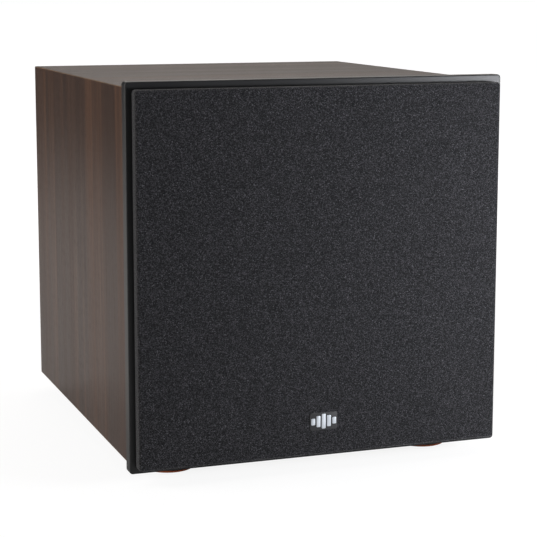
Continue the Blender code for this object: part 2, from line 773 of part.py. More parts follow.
def pot_and_knob(label, x):
    """A rotary control: its body behind the plate, and the knob with its shaft, which turn together."""
    centre = (x, PLATE_FACE_Y, CONTROL_ROW_Z)
    pot_face, pot_back, bore, bore_floor = -PLATE - 2 * GAP, -0.014, 0.0033, -0.0112
    pot = [
        (0.0, bore_floor),
        (bore, bore_floor),
        (bore, pot_face),
        (0.0085, pot_face),
        (0.0085, pot_back),
        (0.0, pot_back),
    ]
    turned(f"{label}_pot", pot, centre, "back", STEEL)
    knob_top = OVERALL_DEPTH / 2 - PLATE_FACE_Y
    knob = [
        (0.0, knob_top),
        (0.0082, knob_top),
        (0.0092, knob_top - 0.0010),
        (0.0095, 0.0004),
        (0.0030, 0.0004),
        (0.0030, -0.0105),
        (0.0, -0.0105),
    ]
    knob = turned(f"{label}_knob", knob, centre, "back", BLACK_PLASTIC)
    face_y = OVERALL_DEPTH / 2
    pointer = box(
        f"{label}_pointer",
        (x - 0.0006, face_y - 0.0006, CONTROL_ROW_Z + 0.0025),
        (x + 0.0006, face_y + 0.0020, CONTROL_ROW_Z + 0.0120),
    )
    cut(knob, pointer)


def slide_switch(label, x, half_travel, rest_shift):
    """A slide switch behind the plate, and the slider whose grip stands through the slot."""
    body_half, body_z, slider_z = 0.0100, 0.0042, 0.0017
    body_front_y = PLATE_FACE_Y - 0.0120
    pocket_floor_y = body_front_y + 0.0040
    pocket = NUB + half_travel + 0.0004
    body = box(
        f"{label}_switch_body",
        (x - body_half, body_front_y, CONTROL_ROW_Z - body_z),
        (x + body_half, PLATE_Y - GAP, CONTROL_ROW_Z + body_z),
        STEEL,
    )
    cavity = box(
        f"{label}_cavity",
        (x - pocket, pocket_floor_y, CONTROL_ROW_Z - SWITCH_SLOT_Z),
        (x + pocket, PLATE_Y + 0.001, CONTROL_ROW_Z + SWITCH_SLOT_Z),
    )
    cut(body, cavity)
    middle = x + rest_shift
    box(
        f"{label}_switch_slider",
        (middle - NUB, pocket_floor_y + 0.0005, CONTROL_ROW_Z - slider_z),
        (middle + NUB, PLATE_FACE_Y + 0.0030, CONTROL_ROW_Z + slider_z),
        BLACK_PLASTIC,
        edge=0.0003,
    )


def line_inputs():
    """Two phono sockets."""
    profile = [
        (0.0, 0.0015),
        (0.0016, 0.0015),
        (0.0016, 0.0092),
        (0.00415, 0.0092),
        (0.00415, 0.0019),
        (0.0062, 0.0019),
        (0.0062, GAP),
        (0.0042, GAP),
        (0.0042, -0.0120),
        (0.0, -0.0120),
    ]
    for side, x in zip(("left", "right"), LINE_INPUT_X):
        turned(f"line_input_{side}", profile, (x, PLATE_FACE_Y, SOCKET_ROW_Z), "back", GOLD)


def mains_inlet():
    """The appliance inlet: a flanged body with a deep socket, and three blades standing in it."""
    x, z = MAINS_INLET_X, SOCKET_ROW_Z
    rim = 0.0020  # of the flange round the body
    socket_x, socket_z = 0.0121, 0.0083
    flange_y = PLATE_FACE_Y + GAP
    mouth_y = flange_y + 0.0020
    floor_y = mouth_y - 0.0160
    inlet = box(
        "mains_inlet",
        (x - INLET_X, floor_y - 0.0073, z - INLET_Z),
        (x + INLET_X, flange_y + 0.0010, z + INLET_Z),
        BLACK_PLASTIC,
    )
    flange = box(
        "inlet_flange",
        (x - INLET_X - rim, flange_y, z - INLET_Z - rim),
        (x + INLET_X + rim, mouth_y, z + INLET_Z + rim),
    )
    socket = box(
        "inlet_socket",
        (x - socket_x, floor_y, z - socket_z),
        (x + socket_x, mouth_y + 0.0050, z + socket_z),
    )
    join(inlet, flange)
    cut(inlet, socket)
    thin, tall, sunk = 0.0010, 0.0020, 0.0030
    for number, (blade_x, blade_z) in enumerate(((-0.007, -0.002), (0.007, -0.002), (0.0, 0.002)), 1):
        blade = box(
            f"inlet_blade_{number}",
            (x + blade_x - thin, floor_y - 0.0010, z + blade_z - tall),
            (x + blade_x + thin, mouth_y - sunk, z + blade_z + tall),
        )
        join(inlet, blade)


ROCKER_PIVOT_Y = 0.1885
ROCKER_TILT = math.radians(8)


def power_switch():
    """The switch frame and the rocker that tilts in it, drawn in its off position."""
    x, z = POWER_SWITCH_X, SOCKET_ROW_Z
    rim = 0.0015  # of the flange round the body
    flange_y = PLATE_FACE_Y + GAP
    frame = box(
        "power_switch_frame",
        (x - SWITCH_X, PLATE_FACE_Y - 0.0190, z - SWITCH_Z),
        (x + SWITCH_X, flange_y + 0.0005, z + SWITCH_Z),
        BLACK_PLASTIC,
    )
    flange = box(
        "switch_flange",
        (x - SWITCH_X - rim, flange_y, z - SWITCH_Z - rim),
        (x + SWITCH_X + rim, flange_y + 0.0016, z + SWITCH_Z + rim),
    )
    well_x, well_z, well_floor_y = 0.0086, 0.0056, PLATE_FACE_Y - 0.0110
    well = box(
        "switch_well",
        (x - well_x, well_floor_y, z - well_z),
        (x + well_x, flange_y + 0.0050, z + well_z),
    )
    join(frame, flange)
    cut(frame, well)
    reach, half_width = 0.0075, 0.0052
    profile = [
        (-reach, 0.0064),
        (-reach, -0.0010),
        (0.0, -0.0040),
        (reach, -0.0010),
        (reach, 0.0064),
        (0.0, 0.0052),
    ]
    pivot = (x, ROCKER_PIVOT_Y)
    low, high = z - half_width, z + half_width
    level_prism("power_rocker", profile, low, high, pivot, BLACK_PLASTIC, -ROCKER_TILT)


def status_light():
    profile = [
        (0.0, 0.0018),
        (0.0010, 0.0014),
        (0.0015, 0.0005),
        (0.0015, -0.0060),
        (0.0, -0.0060),
    ]
    centre = (STATUS_LIGHT_X, PLATE_FACE_Y, CONTROL_ROW_Z)
    turned("status_light", profile, centre, "back", GREEN_LENS, PIN_ROUND)


# Grille -------------------------------------------------------------------------------------------
GRILLE_MID_Z = (GRILLE_BOTTOM + GRILLE_TOP) / 2
GRILLE_HALF_HEIGHT = (GRILLE_TOP - GRILLE_BOTTOM) / 2


def grille_frame():
    """The moulded frame behind the cloth, with four pegs."""
    wrap = 0.0007  # the cloth folded over its outer edge
    half_width = GRILLE_WIDTH / 2 - wrap
    half_height = GRILLE_HALF_HEIGHT - wrap
    centre = (0.0, GRILLE_MID_Z)
    corner, inner_corner = 0.003, 0.020
    window_x, window_z = half_width - GRILLE_BAR, half_height - GRILLE_BAR
    outer = rounded_rectangle(centre, half_width, half_height, corner)
    inner = rounded_rectangle(centre, window_x, window_z, inner_corner)
    front_y = GRILLE_FACE_Y + CLOTH + GAP
    back_y = BAFFLE_FACE_Y - GAP
    frame = upright_plate("grille_frame", [outer, inner], front_y, back_y, BLACK_PLASTIC)
    for number, (x, z) in enumerate(grommet_places(), start=1):
        tip = (x, BAFFLE_FACE_Y + PEG_REACH, z)
        join(frame, cylinder(f"grille_peg_{number}", 0.0030, 0.012, tip, "front", steps=10))


def grommets():
    """Rubber sleeves in the baffle that grip the grille's pegs."""
    inner, outer, depth = 0.0033, GROMMET_HOLE_RADIUS - GAP, -0.0095
    profile = [(outer, 0.0), (outer, depth), (inner, depth), (inner, 0.0)]
    for number, (x, z) in enumerate(grommet_places(), start=1):
        turned(f"grille_grommet_{number}", profile, (x, BAFFLE_FACE_Y, z), "front", RUBBER, PIN_ROUND)


def grille_cloth():
    outline = rounded_rectangle((0.0, GRILLE_MID_Z), GRILLE_WIDTH / 2, GRILLE_HALF_HEIGHT, 0.0035)
    upright_plate("grille_cloth", [outline], GRILLE_FACE_Y, GRILLE_FACE_Y + CLOTH, CHARCOAL_CLOTH)


def badge():
    """A plain mark: a thin plate with five raised bars of different heights."""
    mid_z = CABINET_BOTTOM + BADGE_ABOVE_CABINET_FLOOR
    back_y = GRILLE_FACE_Y - 0.0002
    plate_y = back_y - 0.0004
    face_y = GRILLE_FACE_Y - BADGE_PROUD
    outline = rounded_rectangle((0.0, mid_z), BADGE_WIDTH / 2, BADGE_HEIGHT / 2, 0.002)
    plate = upright_plate("badge", [outline], plate_y, back_y, SILVER)
    bar_half, margin = 0.0016, 0.0012
    pitch = (BADGE_WIDTH - 2 * margin - 2 * bar_half) / 4
    for number, share in enumerate((0.45, 0.75, 1.0, 0.75, 0.45)):
        x = (number - 2) * pitch
        half_height = share * (BADGE_HEIGHT / 2 - margin)
        bar = rounded_rectangle((x, mid_z), bar_half, half_height, bar_half - 0.0002, 3)
        join(plate, upright_plate(f"badge_bar_{number + 1}", [bar], face_y, back_y - 0.0001))


# Build --------------------------------------------------------------------------------------------
def build():
    cabinet_sleeve()
    rear_panel()
    window_brace()
    damping_pad()
    front_baffle()
    port_tube()
    feet()
    driver_basket()
    driver_gasket()
    surround()
    cone()
    dust_cap()
    spider()
    motor()
    terminal_strip()
    speaker_leads()
    amp_plate()
    amp_housing()
    heat_sink()
    electronics()
    pot_and_knob("level", LEVEL_X)
    pot_and_knob("crossover", CROSSOVER_X)
    slide_switch("phase", PHASE_X, PHASE_TRAVEL / 2, -PHASE_TRAVEL / 2)
    slide_switch("standby", STANDBY_X, STANDBY_TRAVEL, 0.0)
    line_inputs()
    mains_inlet()
    power_switch()
    status_light()
    grille_frame()
    grommets()
    grille_cloth()
    badge()
    bpy.context.view_layer.update()


build()
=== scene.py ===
# %% [markdown]
# # A powered subwoofer
# The real thing is a box of board wrapped in dark walnut foil, with an oversize satin black baffle, a cloth
# grille that pulls off, a ten-inch woofer, a rear port and an amplifier panel. The measured solids are loaded
# first and stay where they are. Everything made below is placed from their boxes.

# %% Load the measured solids
import math

import bmesh
import bpy
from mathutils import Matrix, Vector
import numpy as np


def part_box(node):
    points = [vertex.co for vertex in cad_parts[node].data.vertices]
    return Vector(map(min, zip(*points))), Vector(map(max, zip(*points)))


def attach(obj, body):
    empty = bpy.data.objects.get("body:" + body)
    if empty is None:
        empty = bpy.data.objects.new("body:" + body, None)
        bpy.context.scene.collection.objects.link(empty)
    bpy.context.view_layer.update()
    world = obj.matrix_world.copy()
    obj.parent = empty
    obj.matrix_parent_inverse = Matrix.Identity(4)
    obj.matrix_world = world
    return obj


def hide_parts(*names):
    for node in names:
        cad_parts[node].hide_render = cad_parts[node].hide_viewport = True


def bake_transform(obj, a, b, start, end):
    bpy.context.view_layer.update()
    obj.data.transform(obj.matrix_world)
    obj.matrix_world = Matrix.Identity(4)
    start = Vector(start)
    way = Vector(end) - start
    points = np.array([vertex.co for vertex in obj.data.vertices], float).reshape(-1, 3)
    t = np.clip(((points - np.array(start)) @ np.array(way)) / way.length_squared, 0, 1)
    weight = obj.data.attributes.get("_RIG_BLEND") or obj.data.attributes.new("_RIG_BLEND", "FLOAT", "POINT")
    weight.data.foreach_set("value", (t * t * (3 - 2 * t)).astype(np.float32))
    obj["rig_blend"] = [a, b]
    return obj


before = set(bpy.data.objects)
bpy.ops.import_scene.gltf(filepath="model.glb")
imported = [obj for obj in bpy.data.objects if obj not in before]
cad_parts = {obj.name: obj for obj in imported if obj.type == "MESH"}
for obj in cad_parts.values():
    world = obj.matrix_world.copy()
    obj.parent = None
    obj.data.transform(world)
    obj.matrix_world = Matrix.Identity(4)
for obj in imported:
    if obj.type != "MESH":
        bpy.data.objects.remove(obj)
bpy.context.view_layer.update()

# %% [markdown]
# ## Camera, light and floor
# The box is seen from its front left and a little above. Its upright edges lean only slightly, so the lens
# is long and stands about a metre and a half away. Five soft panels light it and are never seen themselves.
# The one close by on the right brightens that side of the cloth, and the satin baffle mirrors it along its
# top; it hangs lower than the box, so that the foil on top never mirrors it. The one behind is mirrored
# there instead. The sky looks white but gives only a little light, as in a studio.

# %% Camera
camera_data = bpy.data.cameras.new("camera")
camera_data.sensor_width = 36.0
camera_data.lens = 110.65
camera_data.shift_y = -0.05
camera = bpy.data.objects.new("camera", camera_data)
camera.location = (-0.5313, -1.5387, 0.4370)
LOOK_DOWN, LOOK_RIGHT, TILT = math.radians(8.961), math.radians(19.695), math.radians(-0.020)
camera.rotation_euler = (math.pi / 2 - LOOK_DOWN, TILT, -LOOK_RIGHT)
bpy.context.scene.collection.objects.link(camera)
bpy.context.scene.camera = camera
print("camera at", tuple(round(x, 3) for x in camera.location), "lens", camera_data.lens, "mm")


# %% Lights
def soft_panel(name, place, aim, width, height, watts, colour=(1.0, 1.0, 1.0)):
    """A rectangular studio light turned towards a point."""
    data = bpy.data.lights.new(name, "AREA")
    data.shape = "RECTANGLE"
    data.size, data.size_y = width, height
    data.energy = watts
    data.color = colour
    light = bpy.data.objects.new(name, data)
    light.location = place
    light.visible_camera = False
    light.rotation_euler = (Vector(aim) - Vector(place)).to_track_quat("-Z", "Y").to_euler()
    bpy.context.scene.collection.objects.link(light)
    return light


FILL, BACKDROP = 0.07, 1.0
MIDDLE = (0.0, 0.0, 0.17)
soft_panel("light_above", (0.2, 0.3, 2.4), MIDDLE, 2.0, 2.0, 9.0, (1.0, 0.99, 0.97))
soft_panel("light_left", (-2.4, 0.1, 1.0), MIDDLE, 1.6, 1.8, 60.0, (1.0, 0.975, 0.95))
soft_panel("light_near_right", (0.70, -0.72, 0.27), (0.1, -0.2, 0.24), 0.45, 0.14, 10.5, (0.94, 0.955, 1.0))
soft_panel("light_behind", (0.9, 2.4, 1.8), MIDDLE, 1.8, 1.2, 20.0, (1.0, 0.93, 0.88))
soft_panel("light_right", (2.4, 0.9, 0.9), MIDDLE, 1.4, 1.2, 22.0)

world = bpy.data.worlds.new("studio")
world.use_nodes = True
sky = world.node_tree
sky.nodes["Background"].inputs["Color"].default_value = (0.99, 0.995, 1.0, 1.0)
seen = sky.nodes.new("ShaderNodeLightPath").outputs["Is Camera Ray"]
strength = sky.nodes.new("ShaderNodeMapRange")
strength.inputs["To Min"].default_value = FILL
strength.inputs["To Max"].default_value = BACKDROP
sky.links.new(seen, strength.inputs["Value"])
sky.links.new(strength.outputs["Result"], sky.nodes["Background"].inputs["Strength"])
bpy.context.scene.world = world
bpy.context.scene.view_settings.view_transform = "Standard"

# %% [markdown]
# ## Tools for shaping
# Every new piece starts as a primitive and is shaped in edit mode, as by hand. An operator acts on whatever
# is selected, so these helpers clear the selection first and pick faces, edges or points by where they are.


# %% Selecting and settling
def pick(*objects):
    """Selects only these objects; the first is active."""
    bpy.ops.object.select_all(action="DESELECT")
    for obj in objects:
        obj.select_set(True)
    bpy.context.view_layer.objects.active = objects[0]
    return objects[0]


def begin(name):
    """Names the primitive just added."""
    obj = bpy.context.object
    obj.name = name
    obj.data.name = name
    return obj


def settle(obj):
    """Writes the object's place, turn and size into its mesh."""
    pick(obj)
    bpy.ops.object.transform_apply(location=True, rotation=True, scale=True)
    return obj


def choose(obj, kind, test):
    """In edit mode, selects the faces, edges or verts that pass a test."""
    bpy.ops.mesh.select_mode(type={"faces": "FACE", "edges": "EDGE", "verts": "VERT"}[kind])
    bpy.ops.mesh.select_all(action="DESELECT")
    mesh = bmesh.from_edit_mesh(obj.data)
    mesh.normal_update()
    for part in getattr(mesh, kind):
        if test(part):
            part.select_set(True)
    mesh.select_flush_mode()
    bmesh.update_edit_mesh(obj.data)


def edit(obj):
    pick(obj)
    bpy.ops.object.mode_set(mode="EDIT")


def leave():
    bpy.ops.object.mode_set(mode="OBJECT")


def modify(obj, kind, **settings):
    """Adds a modifier and applies it."""
    pick(obj)
    modifier = obj.modifiers.new(kind.title(), kind)
    for key, value in settings.items():
        setattr(modifier, key, value)
    bpy.ops.object.modifier_apply(modifier=modifier.name)
    return obj


def middle(edge):
    return (edge.verts[0].co + edge.verts[1].co) / 2


def runs_along(edge, axis):
    """True for an edge parallel to X, Y or Z (0, 1, 2)."""
    way = edge.verts[1].co - edge.verts[0].co
    return way.length > 1e-9 and abs(way[axis]) > 0.999 * way.length


# %% Blocks, turned pieces and copies
def block(name, low, high):
    """A rectangular block between two corners, as the start of a piece."""
    bpy.ops.object.select_all(action="DESELECT")
    low, high = Vector(low), Vector(high)
    bpy.ops.mesh.primitive_cube_add(size=1.0, location=(low + high) / 2)
    obj = begin(name)
    obj.scale = high - low
    return settle(obj)


def rounded(obj, width, segments=3, angle=35.0):
    """Rounds every edge sharper than an angle."""
    return modify(
        obj, "BEVEL", width=width, segments=segments, limit_method="ANGLE", angle_limit=math.radians(angle),
        harden_normals=False,
    )


def tidy_mesh(obj, reach=0.000004):
    """In edit mode: welds the seam and the poles, and turns every face outwards."""
    bpy.ops.mesh.select_all(action="SELECT")
    bpy.ops.mesh.remove_doubles(threshold=reach)
    bpy.ops.mesh.normals_make_consistent(inside=False)


UP, FRONT, BACK = Vector((0, 0, 1)), Vector((0, -1, 0)), Vector((0, 1, 0))


def turned(name, profile, centre, axis, steps=64, closed=True):
    """A turned piece: a point extruded along a profile of (radius, height) pairs, then spun round an axis."""
    centre = Vector(centre)
    out = Vector((1, 0, 0))
    points = [centre + out * radius + axis * height for radius, height in profile]
    if closed and (profile[0][0] > 0 or profile[-1][0] > 0):
        points.append(points[0])
    bpy.ops.object.select_all(action="DESELECT")
    bpy.ops.mesh.primitive_plane_add(size=0.001, location=(0, 0, 0))
    obj = begin(name)
    edit(obj)
    bpy.ops.mesh.select_all(action="SELECT")
    bpy.ops.mesh.merge(type="CENTER")
    bpy.ops.mesh.select_mode(type="VERT")
    bpy.ops.mesh.select_all(action="SELECT")
    bpy.ops.transform.translate(value=points[0])
    for before, after in zip(points, points[1:]):
        bpy.ops.mesh.extrude_vertices_move(TRANSFORM_OT_translate={"value": after - before})
    bpy.ops.mesh.select_all(action="SELECT")
    bpy.ops.mesh.spin(steps=steps, angle=2 * math.pi, center=centre, axis=axis)
    tidy_mesh(obj)
    leave()
    return obj


def twin(obj, name, offset):
    """A copy with its own mesh, moved by offset."""
    pick(obj)
    bpy.ops.object.duplicate(linked=False)
    copy = begin(name)
    copy.location = Vector(offset)
    return settle(copy)


def merged(name, *objects):
    """Joins shells that are one piece on the real object."""
    pick(*objects)
    if len(objects) > 1:
        bpy.ops.object.join()
    return begin(name)


def fit(obj, material, body, stands_for=(), crease=35.0):
    """Finishes a piece: smooth shading, its material, the body it rides on and the solids it stands for."""
    settle(obj)
    bpy.ops.object.shade_smooth_by_angle(angle=math.radians(crease))
    obj.data.materials.clear()
    obj.data.materials.append(material)
    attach(obj, body)
    if stands_for:
        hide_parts(*stands_for)
    print(f"{obj.name}: {len(obj.data.polygons)} faces on {body}")
    return obj


def arc(radius, height, bend, start, end, steps):
    """Points of a quarter or half round in a profile, about (radius, height), in degrees."""
    angles = [math.radians(start + (end - start) * i / steps) for i in range(steps + 1)]
    return [(radius + bend * math.cos(a), height + bend * math.sin(a)) for a in angles]


# %% [markdown]
# ## Tools for finishes
# A finish is a Principled shader whose colour, gloss and bump come from noise in the object's own
# coordinates. Three effects are used by many of them, so each is a node group: a fine grain, worn edges and
# settled dust.


# %% Node helpers
def add(tree, kind, inputs=None, **settings):
    """A shader node with its settings, values and links."""
    node = tree.nodes.new("ShaderNode" + kind)
    for key, value in settings.items():
        setattr(node, key, value)
    for key, value in (inputs or {}).items():
        if isinstance(value, bpy.types.NodeSocket):
            tree.links.new(value, node.inputs[key])
        else:
            node.inputs[key].default_value = value
    return node


def mixed(tree, share, first, second, blend="MIX"):
    """Mixes two colours; each is a socket or three numbers."""
    first, second = [c if isinstance(c, bpy.types.NodeSocket) else (*c, 1.0) for c in (first, second)]
    node = add(tree, "Mix", {0: share, 6: first, 7: second}, data_type="RGBA", blend_type=blend)
    return node.outputs[2]


def sums(tree, operation, *values, clamp=False):
    node = add(tree, "Math", dict(enumerate(values)), operation=operation, use_clamp=clamp)
    return node.outputs[0]


def spread_out(tree, value, low, high, new_low=0.0, new_high=1.0):
    """Stretches part of a value's range, and clips the rest."""
    inputs = {"Value": value, "From Min": low, "From Max": high, "To Min": new_low, "To Max": new_high}
    return add(tree, "MapRange", inputs).outputs["Result"]


def noise(tree, vector, scale, detail=3.0, roughness=0.55):
    inputs = {"Vector": vector, "Scale": scale, "Detail": detail, "Roughness": roughness}
    return add(tree, "TexNoise", inputs).outputs["Fac"]


def new_group(name, inputs, outputs):
    """An empty node group with its sockets; inputs and outputs are (label, kind, value) rows."""
    group = bpy.data.node_groups.new(name, "ShaderNodeTree")
    for label, kind, value in inputs:
        socket = group.interface.new_socket(label, in_out="INPUT", socket_type="NodeSocket" + kind)
        if value is not None:
            socket.default_value = value
    for label, kind in outputs:
        group.interface.new_socket(label, in_out="OUTPUT", socket_type="NodeSocket" + kind)
    return group, group.nodes.new("NodeGroupInput").outputs, group.nodes.new("NodeGroupOutput").inputs


def use(tree, group, inputs):
    node = tree.nodes.new("ShaderNodeGroup")
    node.node_tree = group
    for key, value in inputs.items():
        if isinstance(value, bpy.types.NodeSocket):
            tree.links.new(value, node.inputs[key])
        else:
            node.inputs[key].default_value = value
    return node.outputs


# %% The grain, wear and dust groups
GRAIN, taken, given = new_group(
    "fine_grain",
    [
        ("Vector", "Vector", None), ("Scale", "Float", 900.0), ("Roughness", "Float", 0.5),
        ("Spread", "Float", 0.1),
    ],
    [("Height", "Float"), ("Roughness", "Float"), ("Drift", "Float")],
)
fine = noise(GRAIN, taken["Vector"], taken["Scale"], 4.0, 0.6)
drift = noise(GRAIN, taken["Vector"], sums(GRAIN, "MULTIPLY", taken["Scale"], 0.03), 3.0)
uneven = sums(GRAIN, "ADD", sums(GRAIN, "MULTIPLY", fine, 0.5), sums(GRAIN, "MULTIPLY", drift, 1.5))
shift = sums(GRAIN, "MULTIPLY", sums(GRAIN, "SUBTRACT", uneven, 1.0), taken["Spread"])
GRAIN.links.new(fine, given["Height"])
GRAIN.links.new(sums(GRAIN, "ADD", taken["Roughness"], shift, clamp=True), given["Roughness"])
GRAIN.links.new(drift, given["Drift"])

WEAR, taken, given = new_group(
    "worn_edges", [("Vector", "Vector", None), ("Radius", "Float", 0.0008), ("Amount", "Float", 0.5)],
    [("Mask", "Float")],
)
rounded_normal = add(WEAR, "Bevel", {"Radius": taken["Radius"]}, samples=4).outputs["Normal"]
flat_normal = add(WEAR, "NewGeometry").outputs["Normal"]
same = add(WEAR, "VectorMath", {0: rounded_normal, 1: flat_normal}, operation="DOT_PRODUCT").outputs["Value"]
turn = sums(WEAR, "MULTIPLY", sums(WEAR, "SUBTRACT", 1.0, same), 6.0, clamp=True)
patches = spread_out(WEAR, noise(WEAR, taken["Vector"], 160.0, 4.0), 0.40, 0.62)
WEAR.links.new(
    sums(WEAR, "MULTIPLY", sums(WEAR, "MULTIPLY", turn, patches), taken["Amount"], clamp=True), given["Mask"],
)

DUST, taken, given = new_group(
    "settled_dust", [("Vector", "Vector", None), ("Amount", "Float", 0.1)], [("Mask", "Float")],
)
facing = add(DUST, "SeparateXYZ", {0: add(DUST, "NewGeometry").outputs["Normal"]}).outputs["Z"]
level = spread_out(DUST, facing, 0.6, 1.0)
specks = spread_out(DUST, noise(DUST, taken["Vector"], 420.0, 5.0, 0.7), 0.35, 0.75)
DUST.links.new(
    sums(DUST, "MULTIPLY", sums(DUST, "MULTIPLY", level, specks), taken["Amount"], clamp=True), given["Mask"],
)
print("node groups:", [g.name for g in bpy.data.node_groups])

# %% [markdown]
# ## Hard finishes
# Moulded plastic, lacquer, powder coat, rubber and plated metal differ in colour, gloss and grain, but are
# built alike: a colour that drifts a little, uneven gloss, a fine bump, lighter worn edges and dust on what
# faces up.


# %% The hard finish
def new_material(name, constants):
    material = bpy.data.materials.new(name)
    material.use_nodes = True
    tree = material.node_tree
    shader = tree.nodes["Principled BSDF"]
    for socket, value in constants.items():
        shader.inputs[socket].default_value = value
    return material, tree, shader


def bump(tree, shader, height, distance, strength=1.0):
    inputs = {"Height": height, "Distance": distance, "Strength": strength}
    tree.links.new(add(tree, "Bump", inputs).outputs["Normal"], shader.inputs["Normal"])


def hard(
    name, dark, light, roughness, spread=0.1, scale=900.0, depth=0.00003, worn=None, wear=0.3, dust=0.08,
    **more,
):
    """Dark and light are the two colours the surface drifts between; worn is the colour of a rubbed edge."""
    material, tree, shader = new_material(name, {k.replace("_", " "): v for k, v in more.items()})
    point = add(tree, "TexCoord").outputs["Object"]
    grain = use(tree, GRAIN, {"Vector": point, "Scale": scale, "Roughness": roughness, "Spread": spread})
    colour = mixed(tree, spread_out(tree, grain["Drift"], 0.3, 0.7), dark, light)
    if worn:
        mask = use(tree, WEAR, {"Vector": point, "Amount": wear})["Mask"]
        colour = mixed(tree, mask, colour, worn)
    if dust:
        mask = use(tree, DUST, {"Vector": point, "Amount": dust})["Mask"]
        colour = mixed(tree, mask, colour, (0.42, 0.40, 0.37))
    tree.links.new(colour, shader.inputs["Base Color"])
    tree.links.new(grain["Roughness"], shader.inputs["Roughness"])
    bump(tree, shader, grain["Height"], depth)
    return material


SATIN_BLACK = hard(
    "satin_black_lacquer", (0.0075, 0.0078, 0.0085), (0.0095, 0.0098, 0.0108), 0.36, 0.05, scale=700.0,
    depth=0.000012, worn=(0.06, 0.06, 0.062), wear=0.5, dust=0.05, Specular_IOR_Level=0.42,
)
REAR_VINYL = hard(
    "textured_black_vinyl", (0.012, 0.012, 0.013), (0.019, 0.019, 0.020), 0.52, 0.12, scale=520.0,
    depth=0.00016, worn=(0.05, 0.05, 0.05),
)
PLASTIC = hard(
    "moulded_black_plastic", (0.011, 0.011, 0.012), (0.016, 0.016, 0.017), 0.42, 0.10, scale=1500.0,
    depth=0.00004, worn=(0.07, 0.07, 0.07),
)
SOFT_TOUCH = hard(
    "soft_touch_plastic", (0.014, 0.014, 0.015), (0.020, 0.020, 0.021), 0.55, 0.08, scale=1900.0,
    depth=0.00003, worn=(0.09, 0.09, 0.09),
)
POWDER_COAT = hard(
    "black_powder_coat", (0.013, 0.013, 0.014), (0.022, 0.022, 0.024), 0.46, 0.14, scale=1100.0,
    depth=0.00009, worn=(0.16, 0.16, 0.17), wear=0.5,
)
BLACK_RUBBER = hard(
    "black_rubber", (0.010, 0.010, 0.010), (0.017, 0.017, 0.017), 0.66, 0.12, scale=800.0, depth=0.00003,
)
ORANGE_RUBBER = hard(
    "orange_rubber", (0.52, 0.105, 0.025), (0.64, 0.150, 0.040), 0.50, 0.10, scale=1200.0, depth=0.00003,
    dust=0.04, Subsurface_Weight=0.08, Subsurface_Radius=(0.002, 0.0008, 0.0004), Subsurface_Scale=0.5,
)
BRUSHED_SILVER = hard(
    "brushed_silver", (0.60, 0.64, 0.69), (0.72, 0.76, 0.80), 0.34, 0.14, scale=2200.0, depth=0.00001,
    dust=0.0, Metallic=0.85,
)
ZINC_STEEL = hard(
    "zinc_plated_steel", (0.46, 0.46, 0.44), (0.62, 0.61, 0.57), 0.36, 0.20, scale=380.0, depth=0.00003,
    worn=(0.80, 0.79, 0.76), Metallic=1.0,
)
BLACK_SCREW = hard(
    "black_oxide_screw", (0.030, 0.030, 0.032), (0.050, 0.050, 0.053), 0.38, 0.15, scale=1400.0,
    depth=0.00002, worn=(0.35, 0.35, 0.36), wear=0.6, Metallic=0.9,
)
NICKEL = hard(
    "bright_nickel", (0.62, 0.60, 0.55), (0.74, 0.72, 0.66), 0.22, 0.12, scale=900.0, depth=0.00001,
    dust=0.03, Metallic=1.0,
)
GOLD = hard(
    "gold_plate", (0.78, 0.52, 0.17), (0.92, 0.66, 0.28), 0.24, 0.12, scale=900.0, depth=0.00001, dust=0.03,
    Metallic=1.0,
)
FERRITE = hard(
    "sintered_ferrite", (0.022, 0.022, 0.024), (0.050, 0.050, 0.054), 0.58, 0.16, scale=700.0, depth=0.00010,
    worn=(0.12, 0.12, 0.13),
)
EXTRUDED = hard(
    "extruded_aluminium", (0.56, 0.57, 0.58), (0.70, 0.71, 0.72), 0.42, 0.16, scale=450.0, depth=0.00003,
    worn=(0.85, 0.85, 0.86), Metallic=1.0,
)
RED_SLEEVE = hard("red_insulation", (0.42, 0.012, 0.010), (0.55, 0.020, 0.016), 0.42, scale=900.0)
BLACK_SLEEVE = hard("black_insulation", (0.012, 0.012, 0.012), (0.02, 0.02, 0.02), 0.44, scale=900.0)
RED_RING = hard("red_socket_ring", (0.45, 0.015, 0.012), (0.56, 0.025, 0.020), 0.36, scale=1500.0, dust=0.03)
WHITE_RING = hard("white_socket_ring", (0.66, 0.66, 0.64), (0.76, 0.76, 0.74), 0.40, scale=1500.0, dust=0.03)
PRINT = hard("printed_white", (0.55, 0.55, 0.54), (0.68, 0.68, 0.67), 0.55, scale=1800.0, dust=0.0)
print("hard finishes:", len(bpy.data.materials))

# %% [markdown]
# ## The walnut foil
# The box is wrapped in one sheet of printed foil that runs up the left side, over the top and down the
# right, so the figure flows round the corners. It is drawn on the foil's own map: first along the way
# round, then along the depth. Stretching noise along the first gives broad bands, narrow streaks, hairlines
# and short dark pores.


